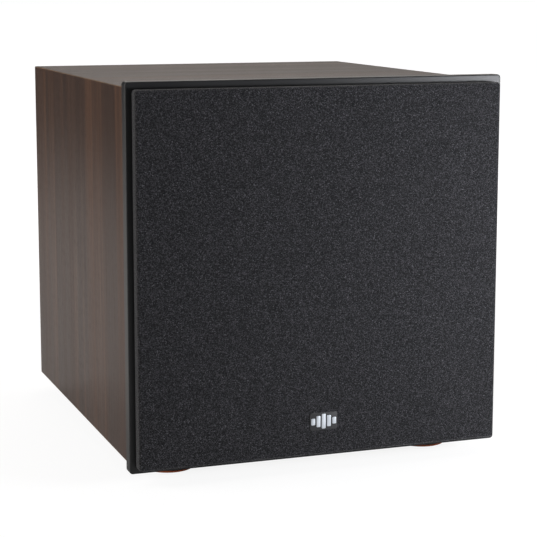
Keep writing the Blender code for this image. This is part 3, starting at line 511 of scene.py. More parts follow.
# %% Walnut
def walnut():
    material, tree, shader = new_material("walnut_foil", {"Specular IOR Level": 0.12})
    chart = add(tree, "UVMap", uv_map="round_and_deep").outputs["UV"]
    point = add(tree, "TexCoord").outputs["Object"]
    flow = add(tree, "Mapping", {"Vector": chart, "Scale": (2.2, 5.0, 1.0)}).outputs["Vector"]
    sway = sums(tree, "MULTIPLY", sums(tree, "SUBTRACT", noise(tree, flow, 1.0, 2.0), 0.5), 0.022)
    swayed = add(
        tree, "VectorMath", {0: chart, 1: add(tree, "CombineXYZ", {"Y": sway}).outputs[0]}, operation="ADD",
    ).outputs["Vector"]

    def streaks(along, across, detail, roughness=0.6, offset=0.0):
        place = {"Vector": swayed, "Scale": (along, across, 1.0), "Location": (offset, offset * 3.1, 0.0)}
        stretched = add(tree, "Mapping", place).outputs["Vector"]
        return noise(tree, stretched, 1.0, detail, roughness)

    bands = streaks(0.9, 24.0, 3.0, offset=2.7)
    warm = streaks(0.7, 33.0, 2.0, offset=7.3)
    veins = streaks(1.6, 190.0, 4.0, 0.65, offset=1.1)
    hairs = streaks(9.0, 900.0, 3.0, 0.7, offset=4.2)
    pores = streaks(110.0, 2300.0, 2.0, 0.5, offset=5.9)

    colour = mixed(
        tree, spread_out(tree, bands, 0.38, 0.62), (0.0388, 0.0237, 0.0180), (0.0582, 0.0321, 0.0220),
    )
    colour = mixed(tree, spread_out(tree, warm, 0.53, 0.62, 0.0, 0.7), colour, (0.1018, 0.0502, 0.0286))
    colour = mixed(tree, spread_out(tree, veins, 0.44, 0.62, 0.0, 0.6), colour, (0.0310, 0.0179, 0.0136))
    light_share = spread_out(tree, veins, 0.28, 0.40, 0.45, 0.0)
    colour = mixed(tree, light_share, colour, (0.1455, 0.0720, 0.0424))
    colour = mixed(tree, spread_out(tree, hairs, 0.42, 0.66, 0.0, 0.5), colour, (0.0252, 0.0151, 0.0114))
    pore_share = spread_out(tree, pores, 0.58, 0.70, 0.0, 0.55)
    colour = mixed(tree, pore_share, colour, (0.0175, 0.0109, 0.0084))
    wear = use(tree, WEAR, {"Vector": point, "Radius": 0.0010, "Amount": 0.35})["Mask"]
    colour = mixed(tree, wear, colour, (0.16, 0.105, 0.08))
    dust = use(tree, DUST, {"Vector": point, "Amount": 0.06})["Mask"]
    colour = mixed(tree, dust, colour, (0.42, 0.40, 0.37))
    tree.links.new(colour, shader.inputs["Base Color"])
    gloss = sums(
        tree, "ADD", spread_out(tree, hairs, 0.3, 0.7, 0.0, 0.10),
        spread_out(tree, bands, 0.3, 0.7, 0.28, 0.34),
    )
    tree.links.new(
        sums(tree, "ADD", gloss, sums(tree, "MULTIPLY", pore_share, 0.2)), shader.inputs["Roughness"],
    )
    relief = sums(tree, "SUBTRACT", sums(tree, "MULTIPLY", hairs, -0.4), pore_share)
    bump(tree, shader, relief, 0.00004)
    return material


WALNUT = walnut()

# %% [markdown]
# ## The grille cloth
# A stretched knit of charcoal yarn. Close to, it is rows of small loops; from a step away it is a dark ground
# with irregular light flecks, because the yarn is not spun evenly. Cells make the loops and noise the flecks.
# The gaps between the loops are darkened as painted shade, and the very brightest loops carry painted glints.


# %% Cloths
def knit(name, ground, fleck, cell, thread_depth, fleck_low, fleck_high, sheen=0.25):
    """Loops are cells; each has its own brightness, the brightest are flecks of lighter yarn, and the very
    brightest few are painted glints.
    """
    material, tree, shader = new_material(
        name, {"Sheen Weight": sheen, "Sheen Roughness": 0.4, "Specular IOR Level": 0.25},
    )
    point = add(tree, "TexCoord").outputs["Object"]
    cells = add(tree, "TexVoronoi", {"Vector": point, "Scale": cell, "Randomness": 0.9}).outputs
    loops = cells["Distance"]
    yarn = add(tree, "SeparateXYZ", {0: cells["Color"]}).outputs["X"]
    fuzz = noise(tree, point, cell * 1.7, 4.0, 0.7)
    clouds = noise(tree, point, 45.0, 3.0, 0.6)
    lifted = spread_out(tree, yarn, fleck_low, fleck_high)
    lifted = sums(tree, "MULTIPLY", lifted, spread_out(tree, fuzz, 0.35, 0.65, 0.4, 1.0))
    ground_now = mixed(tree, spread_out(tree, clouds, 0.35, 0.65), [c * 0.82 for c in ground], ground)
    colour = mixed(tree, lifted, ground_now, fleck)
    # Painted glints: the very brightest few loops are lifted well above the fleck colour, standing in for lit
    # fuzz.
    colour = mixed(
        tree, spread_out(tree, yarn, 0.95, 1.0, 0.0, 0.7), colour, [min(1.0, c * 2.1) for c in fleck],
    )
    # Painted shade: the colour darkens towards the gaps between loops, where the knit's holes fall into
    # shadow.
    colour = mixed(tree, spread_out(tree, loops, 0.25, 0.75, 0.0, 0.55), colour, [c * 0.35 for c in ground])
    tree.links.new(colour, shader.inputs["Base Color"])
    tree.links.new(spread_out(tree, fuzz, 0.2, 0.8, 0.80, 0.98), shader.inputs["Roughness"])
    height = sums(tree, "ADD", sums(tree, "MULTIPLY", loops, -0.8), sums(tree, "MULTIPLY", fuzz, 0.7))
    height = sums(tree, "ADD", height, sums(tree, "MULTIPLY", lifted, 0.4))
    bump(tree, shader, height, thread_depth)
    return material


CHARCOAL, LIGHT_YARN = (0.0036, 0.0036, 0.0048), (0.088, 0.0865, 0.097)
GRILLE_CLOTH = knit("charcoal_grille_cloth", CHARCOAL, LIGHT_YARN, 1600.0, 0.0004, 0.40, 1.05, 0.2)
SPIDER_CLOTH = knit("amber_spider_cloth", (0.40, 0.245, 0.075), (0.56, 0.38, 0.15), 1100.0, 0.0002, 0.3, 0.9)
WADDING = knit("white_wadding", (0.62, 0.61, 0.58), (0.82, 0.82, 0.80), 300.0, 0.0012, 0.2, 0.8, 0.5)

# %% [markdown]
# ## Board, paper, windings and the circuit board
# These are inside the box. The board is fibre with fine specks, the cone is pulp with long fibres, the coil
# and the transformer show their turns, and the circuit board has tracks under its green mask.


# %% Inner materials
def fibre(name, dark, light, speck, scale, depth, roughness=0.8):
    material, tree, shader = new_material(name, {"Specular IOR Level": 0.3})
    point = add(tree, "TexCoord").outputs["Object"]
    cloudy = noise(tree, point, scale * 0.08, 3.0)
    strands = add(
        tree, "TexNoise",
        {"Vector": point, "Scale": scale, "Detail": 5.0, "Roughness": 0.7, "Distortion": 1.6},
    ).outputs["Fac"]
    colour = mixed(tree, spread_out(tree, cloudy, 0.3, 0.7), dark, light)
    colour = mixed(tree, spread_out(tree, strands, 0.54, 0.70, 0.0, 0.7), colour, speck)
    tree.links.new(colour, shader.inputs["Base Color"])
    tree.links.new(
        spread_out(tree, strands, 0.3, 0.7, roughness - 0.1, roughness + 0.1), shader.inputs["Roughness"],
    )
    bump(tree, shader, strands, depth)
    return material


BOARD = fibre("fibre_board", (0.30, 0.195, 0.115), (0.40, 0.27, 0.165), (0.20, 0.125, 0.07), 900.0, 0.00012)
CONE_PAPER = fibre(
    "cone_paper", (0.013, 0.013, 0.0135), (0.022, 0.022, 0.023), (0.050, 0.050, 0.052), 420.0, 0.00015,
)
PRESSED_TAG_BOARD = fibre(
    "tag_board", (0.15, 0.075, 0.030), (0.20, 0.105, 0.045), (0.09, 0.045, 0.02), 700.0, 0.00006, 0.6,
)


def wound(name, dark, light, centre, pitch, radial, metallic, roughness):
    """Turns of wire or tape: rings along the axis, or spokes round it, each darker in its groove as painted
    shade.
    """
    material, tree, shader = new_material(name, {"Metallic": metallic})
    point = add(tree, "TexCoord").outputs["Object"]
    place = {"Vector": point, "Location": tuple(-c for c in centre)}
    centred = add(tree, "Mapping", place).outputs["Vector"]
    parts = add(tree, "SeparateXYZ", {0: centred}).outputs
    if radial:
        angle = sums(tree, "ARCTAN2", parts["Z"], parts["X"])
        phase = sums(tree, "MULTIPLY", angle, pitch)
    else:
        phase = sums(tree, "MULTIPLY", parts["Y"], 2 * math.pi / pitch)
    phase = sums(tree, "ADD", phase, sums(tree, "MULTIPLY", noise(tree, point, 260.0), 1.4))
    ridge = sums(tree, "ABSOLUTE", sums(tree, "SINE", phase))
    stain = noise(tree, point, 120.0, 4.0)
    # Painted shade: each turn is lighter on its crest and darker in the groove between turns; the stain noise
    # adds uneven tarnish on top.
    colour = mixed(
        tree, sums(tree, "MULTIPLY", ridge, spread_out(tree, stain, 0.2, 0.7), clamp=True), dark, light,
    )
    tree.links.new(colour, shader.inputs["Base Color"])
    tree.links.new(
        spread_out(tree, stain, 0.2, 0.8, roughness - 0.08, roughness + 0.12), shader.inputs["Roughness"],
    )
    bump(tree, shader, ridge, 0.0002)
    return material


def circuit_green():
    material, tree, shader = new_material("green_circuit_mask", {"Coat Weight": 0.3})
    point = add(tree, "TexCoord").outputs["Object"]
    place = {"Vector": point, "Rotation": (math.pi / 2, 0.0, 0.0), "Scale": (1.0, 1.0, 1.0)}
    flat = add(tree, "Mapping", place).outputs["Vector"]
    bricks = add(
        tree, "TexBrick", {"Vector": flat, "Scale": 160.0, "Mortar Size": 0.06, "Mortar Smooth": 0.4},
        offset=0.37, squash=1.6, squash_frequency=3,
    ).outputs["Fac"]
    pads = add(tree, "TexVoronoi", {"Vector": flat, "Scale": 190.0, "Randomness": 1.0}).outputs["Distance"]
    pad_mask = spread_out(tree, pads, 0.10, 0.16, 1.0, 0.0)
    colour = mixed(tree, bricks, (0.010, 0.095, 0.030), (0.025, 0.190, 0.065))
    colour = mixed(tree, pad_mask, colour, (0.55, 0.52, 0.45))
    tree.links.new(colour, shader.inputs["Base Color"])
    tree.links.new(
        spread_out(tree, noise(tree, point, 300.0), 0.3, 0.7, 0.30, 0.45), shader.inputs["Roughness"],
    )
    bump(tree, shader, sums(tree, "ADD", bricks, pad_mask), 0.00008)
    return material


def lit_lens():
    """The status light: green moulded plastic with a dim glow from below."""
    material, tree, shader = new_material("green_lens", {"Emission Strength": 0.5, "Coat Weight": 0.6})
    point = add(tree, "TexCoord").outputs["Object"]
    grain = use(tree, GRAIN, {"Vector": point, "Scale": 1500.0, "Roughness": 0.22, "Spread": 0.08})
    colour = mixed(tree, grain["Drift"], (0.030, 0.42, 0.060), (0.060, 0.60, 0.110))
    tree.links.new(colour, shader.inputs["Base Color"])
    tree.links.new(colour, shader.inputs["Emission Color"])
    tree.links.new(grain["Roughness"], shader.inputs["Roughness"])
    bump(tree, shader, grain["Height"], 0.00001)
    return material


CIRCUIT_GREEN = circuit_green()
GREEN_LENS = lit_lens()
print("materials:", len(bpy.data.materials))

# %% [markdown]
# ## Places
# The boxes of the measured solids give every place that the new pieces need.

# %% Measures
sleeve_low = Vector([min(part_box(n)[0][i] for n in ("left_side_panel", "bottom_panel")) for i in range(3)])
sleeve_high = Vector([max(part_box(n)[1][i] for n in ("right_side_panel", "top_panel")) for i in range(3)])
rear_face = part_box("rear_panel")[1].y
baffle_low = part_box("front_baffle")[0]
cloth_low, cloth_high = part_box("grille_cloth")
frame_low, frame_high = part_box("grille_frame")
plate_low, plate_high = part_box("amp_plate")
basket_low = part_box("driver_basket")[0]
BOX_MIDDLE_Z = (sleeve_low.z + sleeve_high.z) / 2
BAFFLE_FACE = baffle_low.y
PLATE_FACE = plate_high.y
DRIVER = Vector((0.0, basket_low.y, BOX_MIDDLE_Z))
print("sleeve", sleeve_low[:], sleeve_high[:])
print("baffle face", round(BAFFLE_FACE, 4), "plate face", round(PLATE_FACE, 4), "driver", DRIVER[:])

# %% [markdown]
# ## The wrap
# The foil is one skin a fifth of a millimetre thick. A block the size of the box has its four long edges
# rounded, its front taken away and its back inset and pushed in, so that the foil turns over the rear edges
# of the board down to the recessed back. Its map is written face by face: how far round, and how deep.

# %% Walnut wrap
FOIL = 0.0002
FOIL_BEND = 0.0012
BOARD_EDGE = 0.0161  # how far the foil turns in over the board's rear edge
REACH = Vector((FOIL, 0.0, FOIL))

wrap = block(
    "walnut_wrap", sleeve_low - REACH + Vector((0, 0.0001, 0)), sleeve_high + REACH + Vector((0, FOIL, 0)),
)
edit(wrap)
choose(wrap, "faces", lambda f: f.normal.y < -0.5)
bpy.ops.mesh.delete(type="FACE")
choose(wrap, "faces", lambda f: f.normal.y > 0.5)
bpy.ops.mesh.inset(thickness=BOARD_EDGE)
push_in = rear_face + 0.0002 - sleeve_high.y - FOIL
bpy.ops.mesh.extrude_region_move(TRANSFORM_OT_translate={"value": (0, push_in, 0)})
bpy.ops.mesh.delete(type="FACE")
choose(wrap, "edges", lambda e: runs_along(e, 1) and abs(e.verts[0].co.x) > sleeve_high.x)
bpy.ops.mesh.bevel(offset=FOIL_BEND, segments=4)
choose(wrap, "edges", lambda e: all(v.co.y > sleeve_high.y for v in e.verts) and e.calc_face_angle(0) > 1.0)
bpy.ops.mesh.bevel(offset=0.0005, segments=2)
leave()

half_x, half_z = sleeve_high.x + FOIL, (sleeve_high.z - sleeve_low.z) / 2 + FOIL
wrap.data.uv_layers.active.name = "round_and_deep"
chart = wrap.data.uv_layers["round_and_deep"].data
START = {"left": 0.0, "top": 2 * half_z, "right": 2 * half_z + 2 * half_x, "bottom": 4 * half_z + 2 * half_x}
for face in wrap.data.polygons:
    centre = face.center - Vector((0, 0, BOX_MIDDLE_Z))
    if half_x - abs(centre.x) < half_z - abs(centre.z):
        side = "left" if centre.x < 0 else "right"
    else:
        side = "top" if centre.z > 0 else "bottom"
    for loop in face.loop_indices:
        point = wrap.data.vertices[wrap.data.loops[loop].vertex_index].co - Vector((0, 0, BOX_MIDDLE_Z))
        along = {
            "left": point.z + half_z, "top": point.x + half_x, "right": half_z - point.z,
            "bottom": half_x - point.x,
        }
        inward = half_x - abs(point.x) if side in ("left", "right") else half_z - abs(point.z)
        chart[loop].uv = (START[side] + along[side], point.y + inward)
modify(wrap, "SOLIDIFY", thickness=FOIL, offset=-1.0)
fit(wrap, WALNUT, "cabinet")

# %% [markdown]
# ## The grille
# The cloth is one sheet stretched over a moulded frame, down its sides and on to its back, where it is
# glued. Its front edges take the frame's soft rounding. The frame is a ring of plastic with four pegs with
# round tips.

# %% Grille cover
COVER = 0.0006
EDGE_ROUND = 0.0024
CORNER_ROUND = 0.0034
FLAP = 0.012
cover_back = frame_low.y + (BAFFLE_FACE - 0.0003 - frame_low.y) + 0.0001
cover = block(
    "grille_cover", (cloth_low.x, cloth_low.y, cloth_low.z), (cloth_high.x, cover_back, cloth_high.z),
)
edit(cover)
choose(cover, "faces", lambda f: f.normal.y > 0.5)
bpy.ops.mesh.inset(thickness=FLAP)
bpy.ops.mesh.delete(type="FACE")
choose(cover, "edges", lambda e: runs_along(e, 1))
bpy.ops.mesh.bevel(offset=CORNER_ROUND, segments=6)
choose(cover, "edges", lambda e: all(v.co.y < cloth_low.y + 0.0001 for v in e.verts))
bpy.ops.mesh.bevel(offset=EDGE_ROUND, segments=5)
choose(
    cover, "edges",
    lambda e: all(v.co.y > cover_back - 0.0001 for v in e.verts) and e.calc_face_angle(0) > 1.0,
)
bpy.ops.mesh.bevel(offset=0.0008, segments=2)
leave()
modify(cover, "SOLIDIFY", thickness=COVER, offset=-1.0)
edit(cover)
bpy.ops.mesh.select_all(action="SELECT")
bpy.ops.mesh.normals_make_consistent(inside=False)
leave()
fit(cover, GRILLE_CLOTH, "grille", ["grille_cloth"])
depth = cover_back - cloth_low.y

# %% Grille frame
BAR = 0.022
carrier = block("grille_carrier", frame_low, (frame_high.x, BAFFLE_FACE - 0.0003, frame_high.z))
edit(carrier)
choose(carrier, "edges", lambda e: runs_along(e, 1))
bpy.ops.mesh.bevel(offset=0.003, segments=5)
choose(carrier, "faces", lambda f: abs(f.normal.y) > 0.5)
bpy.ops.mesh.inset(thickness=BAR)
bpy.ops.mesh.bridge_edge_loops()
choose(carrier, "edges", lambda e: runs_along(e, 1) and abs(e.verts[0].co.x) < frame_high.x - BAR * 0.5)
bpy.ops.mesh.bevel(offset=0.017, segments=6)
leave()
rounded(carrier, 0.0006, 2)
grommets = [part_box(f"grille_grommet_{number}") for number in range(1, 5)]
peg_ends = frame_high.y
pegs = []
for number, (low, high) in enumerate(grommets, start=1):
    root = Vector(((low.x + high.x) / 2, BAFFLE_FACE - 0.002, (low.z + high.z) / 2))
    length = peg_ends - root.y
    profile = [
        (0.0, 0.0), (0.0045, 0.0), (0.0045, 0.0012), *arc(0.0045, 0.0027, 0.0015, -90, -180, 3),
        (0.0026, length - 0.0042), (0.0030, length - 0.0030), *arc(0.0010, length - 0.0020, 0.0020, 0, 90, 4),
        (0.0, length),
    ]
    pegs.append(turned(f"peg_{number}", profile, root, BACK, 24, closed=False))
carrier = merged("grille_carrier", carrier, *pegs)
fit(carrier, PLASTIC, "grille", ["grille_frame"])
LIP = 0.0002
for number, (low, high) in enumerate(grommets, start=1):
    centre = Vector(((low.x + high.x) / 2, BAFFLE_FACE, (low.z + high.z) / 2))
    outer, depth = (high.x - low.x) / 2, high.y - BAFFLE_FACE
    profile = [
        (0.0036, -LIP), (0.0064, -LIP), (0.0068, LIP), (outer, LIP), (outer, depth),
        (0.0036, depth), (0.0033, depth - 0.0006), (0.0033, 0.0012),
    ]
    grommet = turned(f"peg_grommet_{number}", profile, centre, BACK, 32)
    fit(grommet, BLACK_RUBBER, "cabinet", [f"grille_grommet_{number}"])

# %% [markdown]
# ## The badge
# A plain mark low on the cloth: five upright bars of different heights, like a level meter, on a thin dark
# plate.

# %% Badge
badge_low, badge_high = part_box("badge")
badge_mid_z = (badge_low.z + badge_high.z) / 2
plate = block(
    "badge_plate", (badge_low.x, badge_low.y + 0.0004, badge_low.z),
    (badge_high.x, cloth_low.y - 0.00005, badge_high.z),
)
edit(plate)
choose(plate, "edges", lambda e: runs_along(e, 1))
bpy.ops.mesh.bevel(offset=0.0020, segments=5)
leave()
rounded(plate, 0.00015, 2)
fit(plate, SOFT_TOUCH, "grille")

BAR_HALF, BAR_MARGIN = 0.0019, 0.0012
pitch = (badge_high.x - badge_low.x - 2 * BAR_MARGIN - 2 * BAR_HALF) / 4
bars = []
for number, share in enumerate((0.45, 0.75, 1.0, 0.75, 0.45)):
    x = (number - 2) * pitch
    half = share * ((badge_high.z - badge_low.z) / 2 - BAR_MARGIN)
    bar = block(
        f"bar_{number}", (x - BAR_HALF, badge_low.y, badge_mid_z - half),
        (x + BAR_HALF, badge_low.y + 0.0005, badge_mid_z + half),
    )
    edit(bar)
    choose(bar, "edges", lambda e: runs_along(e, 1))
    bpy.ops.mesh.bevel(offset=0.0009, segments=4)
    leave()
    bars.append(rounded(bar, 0.00018, 3))
fit(merged("badge_bars", *bars), BRUSHED_SILVER, "grille", ["badge"])

# %% [markdown]
# ## The feet
# Each foot is a turned black body that widens to a band, a thin orange rubber ring it stands on, and the
# screw that holds it. One foot is shaped and the other three are copies.

# %% Feet
FOOT_NAMES = ("front_left", "front_right", "rear_left", "rear_right")
first_low, first_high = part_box("foot_body_front_left")
ring_low, ring_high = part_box("foot_ring_front_left")
foot = Vector(((first_low.x + first_high.x) / 2, (first_low.y + first_high.y) / 2, 0.0))
body_radius = (first_high.x - first_low.x) / 2
ring_radius = (ring_high.x - ring_low.x) / 2
SKIRT = 0.0017  # the black body laps down over the ring, so that only this much orange shows
under, band = sleeve_low.z - FOIL - 0.00005, ring_high.z + 0.0003
foot_profile = [
    (0.0035, under), (0.0196, under), (0.0202, under - 0.0006), *arc(0.0320, 0.0125, 0.0110, 180, 208, 3),
    (body_radius - 0.0006, 0.0096), (body_radius, 0.0090), (body_radius, SKIRT + 0.0003),
    (body_radius - 0.0003, SKIRT), (body_radius - 0.0010, SKIRT), (body_radius - 0.0010, band),
    (0.0100, band), (0.0096, band + 0.0060), (0.0035, band + 0.0060),
]
ring_profile = [
    (0.0100, ring_high.z), (body_radius - 0.0012, ring_high.z), (body_radius - 0.0012, SKIRT - 0.0001),
    (ring_radius - 0.0003, SKIRT - 0.0001), (ring_radius, SKIRT - 0.0004), (ring_radius, 0.0007),
    (ring_radius - 0.0007, 0.0), (0.0175, 0.0), (0.0170, 0.0006), (0.0130, 0.0006), (0.0125, 0.0),
    (0.0104, 0.0), (0.0100, 0.0004),
]
screw_top = band + 0.0060


def pan_screw(name, centre, axis, radius, height, steps=20):
    """A domed screw head with a cross cut in it."""
    profile = [
        (0.0, height), (radius * 0.45, height * 0.96), (radius * 0.80, height * 0.72),
        (radius, height * 0.25), (radius, 0.0), (0.0, 0.0),
    ]
    head = turned(name, profile, centre, axis, steps, closed=False)
    centre = Vector(centre)
    across = axis.orthogonal().normalized()
    other = axis.cross(across)
    for way, side in ((across, other), (other, across)):
        reach = [
            abs(way[i]) * radius * 0.62 + abs(side[i]) * radius * 0.13 + abs(axis[i]) * height * 0.45
            for i in range(3)
        ]
        top = centre + axis * height
        slot = block("slot", top - Vector(reach), top + Vector(reach))
        modify(head, "BOOLEAN", operation="DIFFERENCE", solver="EXACT", object=slot)
        bpy.data.objects.remove(slot, do_unlink=True)
    return head


foot_bodies = [turned("foot_base_front_left", foot_profile, foot, UP, 64)]
foot_rings = [turned("foot_band_front_left", ring_profile, foot, UP, 64)]
foot_screws = [pan_screw("foot_screw_front_left", foot + UP * (screw_top - 0.0001), -UP, 0.0042, 0.0026)]
for name in FOOT_NAMES[1:]:
    low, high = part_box(f"foot_body_{name}")
    offset = Vector(((low.x + high.x) / 2 - foot.x, (low.y + high.y) / 2 - foot.y, 0.0))
    foot_bodies.append(twin(foot_bodies[0], f"foot_base_{name}", offset))
    foot_rings.append(twin(foot_rings[0], f"foot_band_{name}", offset))
    foot_screws.append(twin(foot_screws[0], f"foot_screw_{name}", offset))
for name, base, ring, screw in zip(FOOT_NAMES, foot_bodies, foot_rings, foot_screws):
    fit(base, PLASTIC, "cabinet", [f"foot_body_{name}"])
    fit(ring, ORANGE_RUBBER, "cabinet", [f"foot_ring_{name}"])
    fit(screw, BLACK_SCREW, "cabinet")

# %% [markdown]
# ## The rear: port
# The port is a moulded tube whose mouth flares out to a flange on the rear panel, and whose inner end is
# belled a little. One turned profile makes it, with a fine step on the flange and four screws through it.

# %% Port
port_low, port_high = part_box("port_tube")
port = Vector((0.0, rear_face + 0.0001, (port_low.z + port_high.z) / 2))
PORT_BORE, PORT_OUTSIDE, PORT_FLANGE = 0.034, 0.0365, (port_high.x - port_low.x) / 2
flange_top = port_high.y - port.y
port_end = port_low.y - port.y
FLARE = 0.0095
port_profile = [
    (PORT_FLANGE - 0.0005, 0.0), (PORT_FLANGE, 0.0005),
    *arc(PORT_FLANGE - 0.0010, flange_top - 0.0014, 0.0010, 0, 90, 3), (0.0470, flange_top - 0.0004),
    (0.0465, flange_top), *arc(PORT_BORE + FLARE, flange_top - FLARE, FLARE, 90, 180, 9),
    (PORT_BORE, port_end + 0.0160),
    *[(PORT_BORE + 0.0068 * (i / 5) ** 2, port_end + 0.0160 - 0.0154 * i / 5) for i in range(1, 6)],
    (0.0425, port_end), (0.0431, port_end + 0.0012), (PORT_OUTSIDE + 0.0010, port_end + 0.0130),
    (PORT_OUTSIDE, port_end + 0.0200), (PORT_OUTSIDE, -0.0150), (0.0403, -0.0085), (0.0403, 0.0),
]
fit(
    turned("port_flare", port_profile, port, BACK, 96), PLASTIC, "cabinet", ["port_tube"],
    28,
)

for number in range(4):
    angle = math.radians(45 + 90 * number)
    place = port + Vector(
        (math.cos(angle), 0, math.sin(angle))
    ) * (PORT_FLANGE - 0.0034) + BACK * (flange_top - 0.0003)
    fit(pan_screw(f"port_screw_{number + 1}", place, BACK, 0.0024, 0.0012, 16), BLACK_SCREW, "cabinet")

# %% [markdown]
# ## The amplifier panel
# A powder-coated steel plate closes the amplifier's opening. Countersunk screws hold it every few
# centimetres. The plate itself is the measured solid; only its screws, its printed marks and what stands on
# it are new.

# %% Plate screws
plate_mid_z = (plate_low.z + plate_high.z) / 2
EDGE_IN = 0.0060
right, top, low_edge = plate_high.x - EDGE_IN, plate_high.z - EDGE_IN, plate_low.z + EDGE_IN
screw_places = [(x, z) for x in (-right, -right / 3, right / 3, right) for z in (low_edge, top)]
screw_places += [(-right, plate_mid_z), (right, plate_mid_z)]
first_place = Vector((screw_places[0][0], PLATE_FACE, screw_places[0][1]))
first_screw = pan_screw("plate_screw_1", first_place, BACK, 0.0034, 0.0015, 20)
plate_screws = [first_screw]
for number, (x, z) in enumerate(screw_places[1:], start=2):
    plate_screws.append(twin(first_screw, f"plate_screw_{number}", Vector((x, PLATE_FACE, z)) - first_place))
for screw in plate_screws:
    fit(screw, BLACK_SCREW, "cabinet")

# %% [markdown]
# ## Knobs
# Each knob is turned with a crowned top, then every second strip of its side is pressed in, which leaves grip
# ribs. A white line on the top shows where it points, and a ring of ticks is printed round it on the plate.

# %% Knobs
RIBS = 30
for label, body in (("level", "level_control"), ("crossover", "crossover_control")):
    low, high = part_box(f"{label}_knob")
    centre = Vector(((low.x + high.x) / 2, PLATE_FACE, (low.z + high.z) / 2))
    height, radius = high.y - PLATE_FACE, (high.x - low.x) / 2
    profile = [
        (0.0, height - 0.0004), (radius * 0.45, height - 0.0002), (radius * 0.80, height - 0.0001),
        *arc(radius * 0.965 - 0.0012, height - 0.0012, 0.0012, 90, 10, 4), (radius * 0.975, height - 0.0030),
        (radius * 0.995, 0.0022), (radius, 0.0012), (radius, 0.0006), (radius - 0.0003, 0.0004),
        (0.0034, 0.0004), (0.0030, -0.0100), (0.0, -0.0100),
    ]
    knob = turned(f"{label}_dial", profile, centre, BACK, RIBS * 4, closed=False)

    def on_a_rib(face):
        """Whether a face lies on every second rib of the grip."""
        middle = face.calc_center_median()
        if abs(face.normal.y) >= 0.3 or not 0.0020 < middle.y - PLATE_FACE < height - 0.0020:
            return False
        turn = (math.atan2(middle.z - centre.z, middle.x - centre.x) + math.pi) / (2 * math.pi)
        return (middle - centre).xz.length > radius * 0.9 and int(turn * RIBS * 2) % 2 == 1

    edit(knob)
    choose(knob, "faces", on_a_rib)
    bpy.ops.mesh.inset(thickness=0.00005)
    bpy.ops.transform.shrink_fatten(value=-0.00035)
    leave()
    fit(knob, SOFT_TOUCH, body, [f"{label}_knob"], 30)
    line = block(
        f"{label}_pointer", (centre.x - 0.0005, PLATE_FACE + height - 0.0009, centre.z + 0.0030),
        (centre.x + 0.0005, PLATE_FACE + height + 0.00005, centre.z + radius * 0.90),
    )
    fit(rounded(line, 0.0002, 2), PRINT, body)
    ticks = []
    for step in range(11):
        angle = math.radians(90 - 150 + 30 * step)
        place = centre + Vector((math.cos(angle), 0, math.sin(angle))) * (radius + 0.0032)
        long = step in (0, 5, 10)
        tick = block(
            f"tick_{step}", (place.x - (0.0014 if long else 0.0008), PLATE_FACE - 0.0001, place.z - 0.00025),
            (place.x + (0.0014 if long else 0.0008), PLATE_FACE + 0.00008, place.z + 0.00025),
        )
        edit(tick)
        bpy.ops.mesh.select_all(action="SELECT")
        bpy.ops.transform.rotate(value=angle, orient_axis="Y", center_override=place)
        leave()
        ticks.append(tick)
    fit(merged(f"{label}_scale", *ticks), PRINT, "cabinet")

# %% [markdown]
# ## Slide switches
# A slider is a small grip with three ridges that runs in a slot. It is a block whose outer face is cut into
# strips and every second strip pulled out.

# %% Sliders and their marks
for label in ("phase", "standby"):
    low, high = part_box(f"{label}_switch_slider")
    grip = block(f"{label}_grip", low, high)
    edit(grip)
    bpy.ops.mesh.select_all(action="SELECT")
    for share in (0.14, 0.29, 0.43, 0.57, 0.71, 0.86):
        bpy.ops.mesh.select_all(action="SELECT")
        bpy.ops.mesh.bisect(plane_co=(low.x + (high.x - low.x) * share, 0, 0), plane_no=(1, 0, 0))
    strips = [low.x + (high.x - low.x) * s for s in (0.215, 0.50, 0.785)]
    choose(
        grip, "faces",
        lambda f: f.normal.y > 0.9 and any(abs(f.calc_center_median().x - s) < 0.0002 for s in strips),
    )
    bpy.ops.mesh.extrude_region_shrink_fatten(TRANSFORM_OT_shrink_fatten={"value": -0.0004})
    leave()
    fit(rounded(grip, 0.00012, 2), SOFT_TOUCH, f"{label}_slider", [f"{label}_switch_slider"])
    switch_low, switch_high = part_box(f"{label}_switch_body")
    marks = []
    middle_x, mark_z = (switch_low.x + switch_high.x) / 2, (low.z + high.z) / 2 + 0.0055
    for number, offset in enumerate((-0.0060, 0.0, 0.0060) if label == "standby" else (-0.0050, 0.0050)):
        mark = block(
            f"mark_{number}", (middle_x + offset - 0.0004, PLATE_FACE - 0.0001, mark_z - 0.0008),
            (middle_x + offset + 0.0004, PLATE_FACE + 0.00008, mark_z + 0.0008),
        )
        marks.append(mark)
    fit(merged(f"{label}_marks", *marks), PRINT, "cabinet")

# %% [markdown]
# ## Line inputs
# Two phono sockets. The shell is plated metal with a six-sided foot; inside it is a coloured ring, white on
# the left and red on the right, round the hole for the pin.

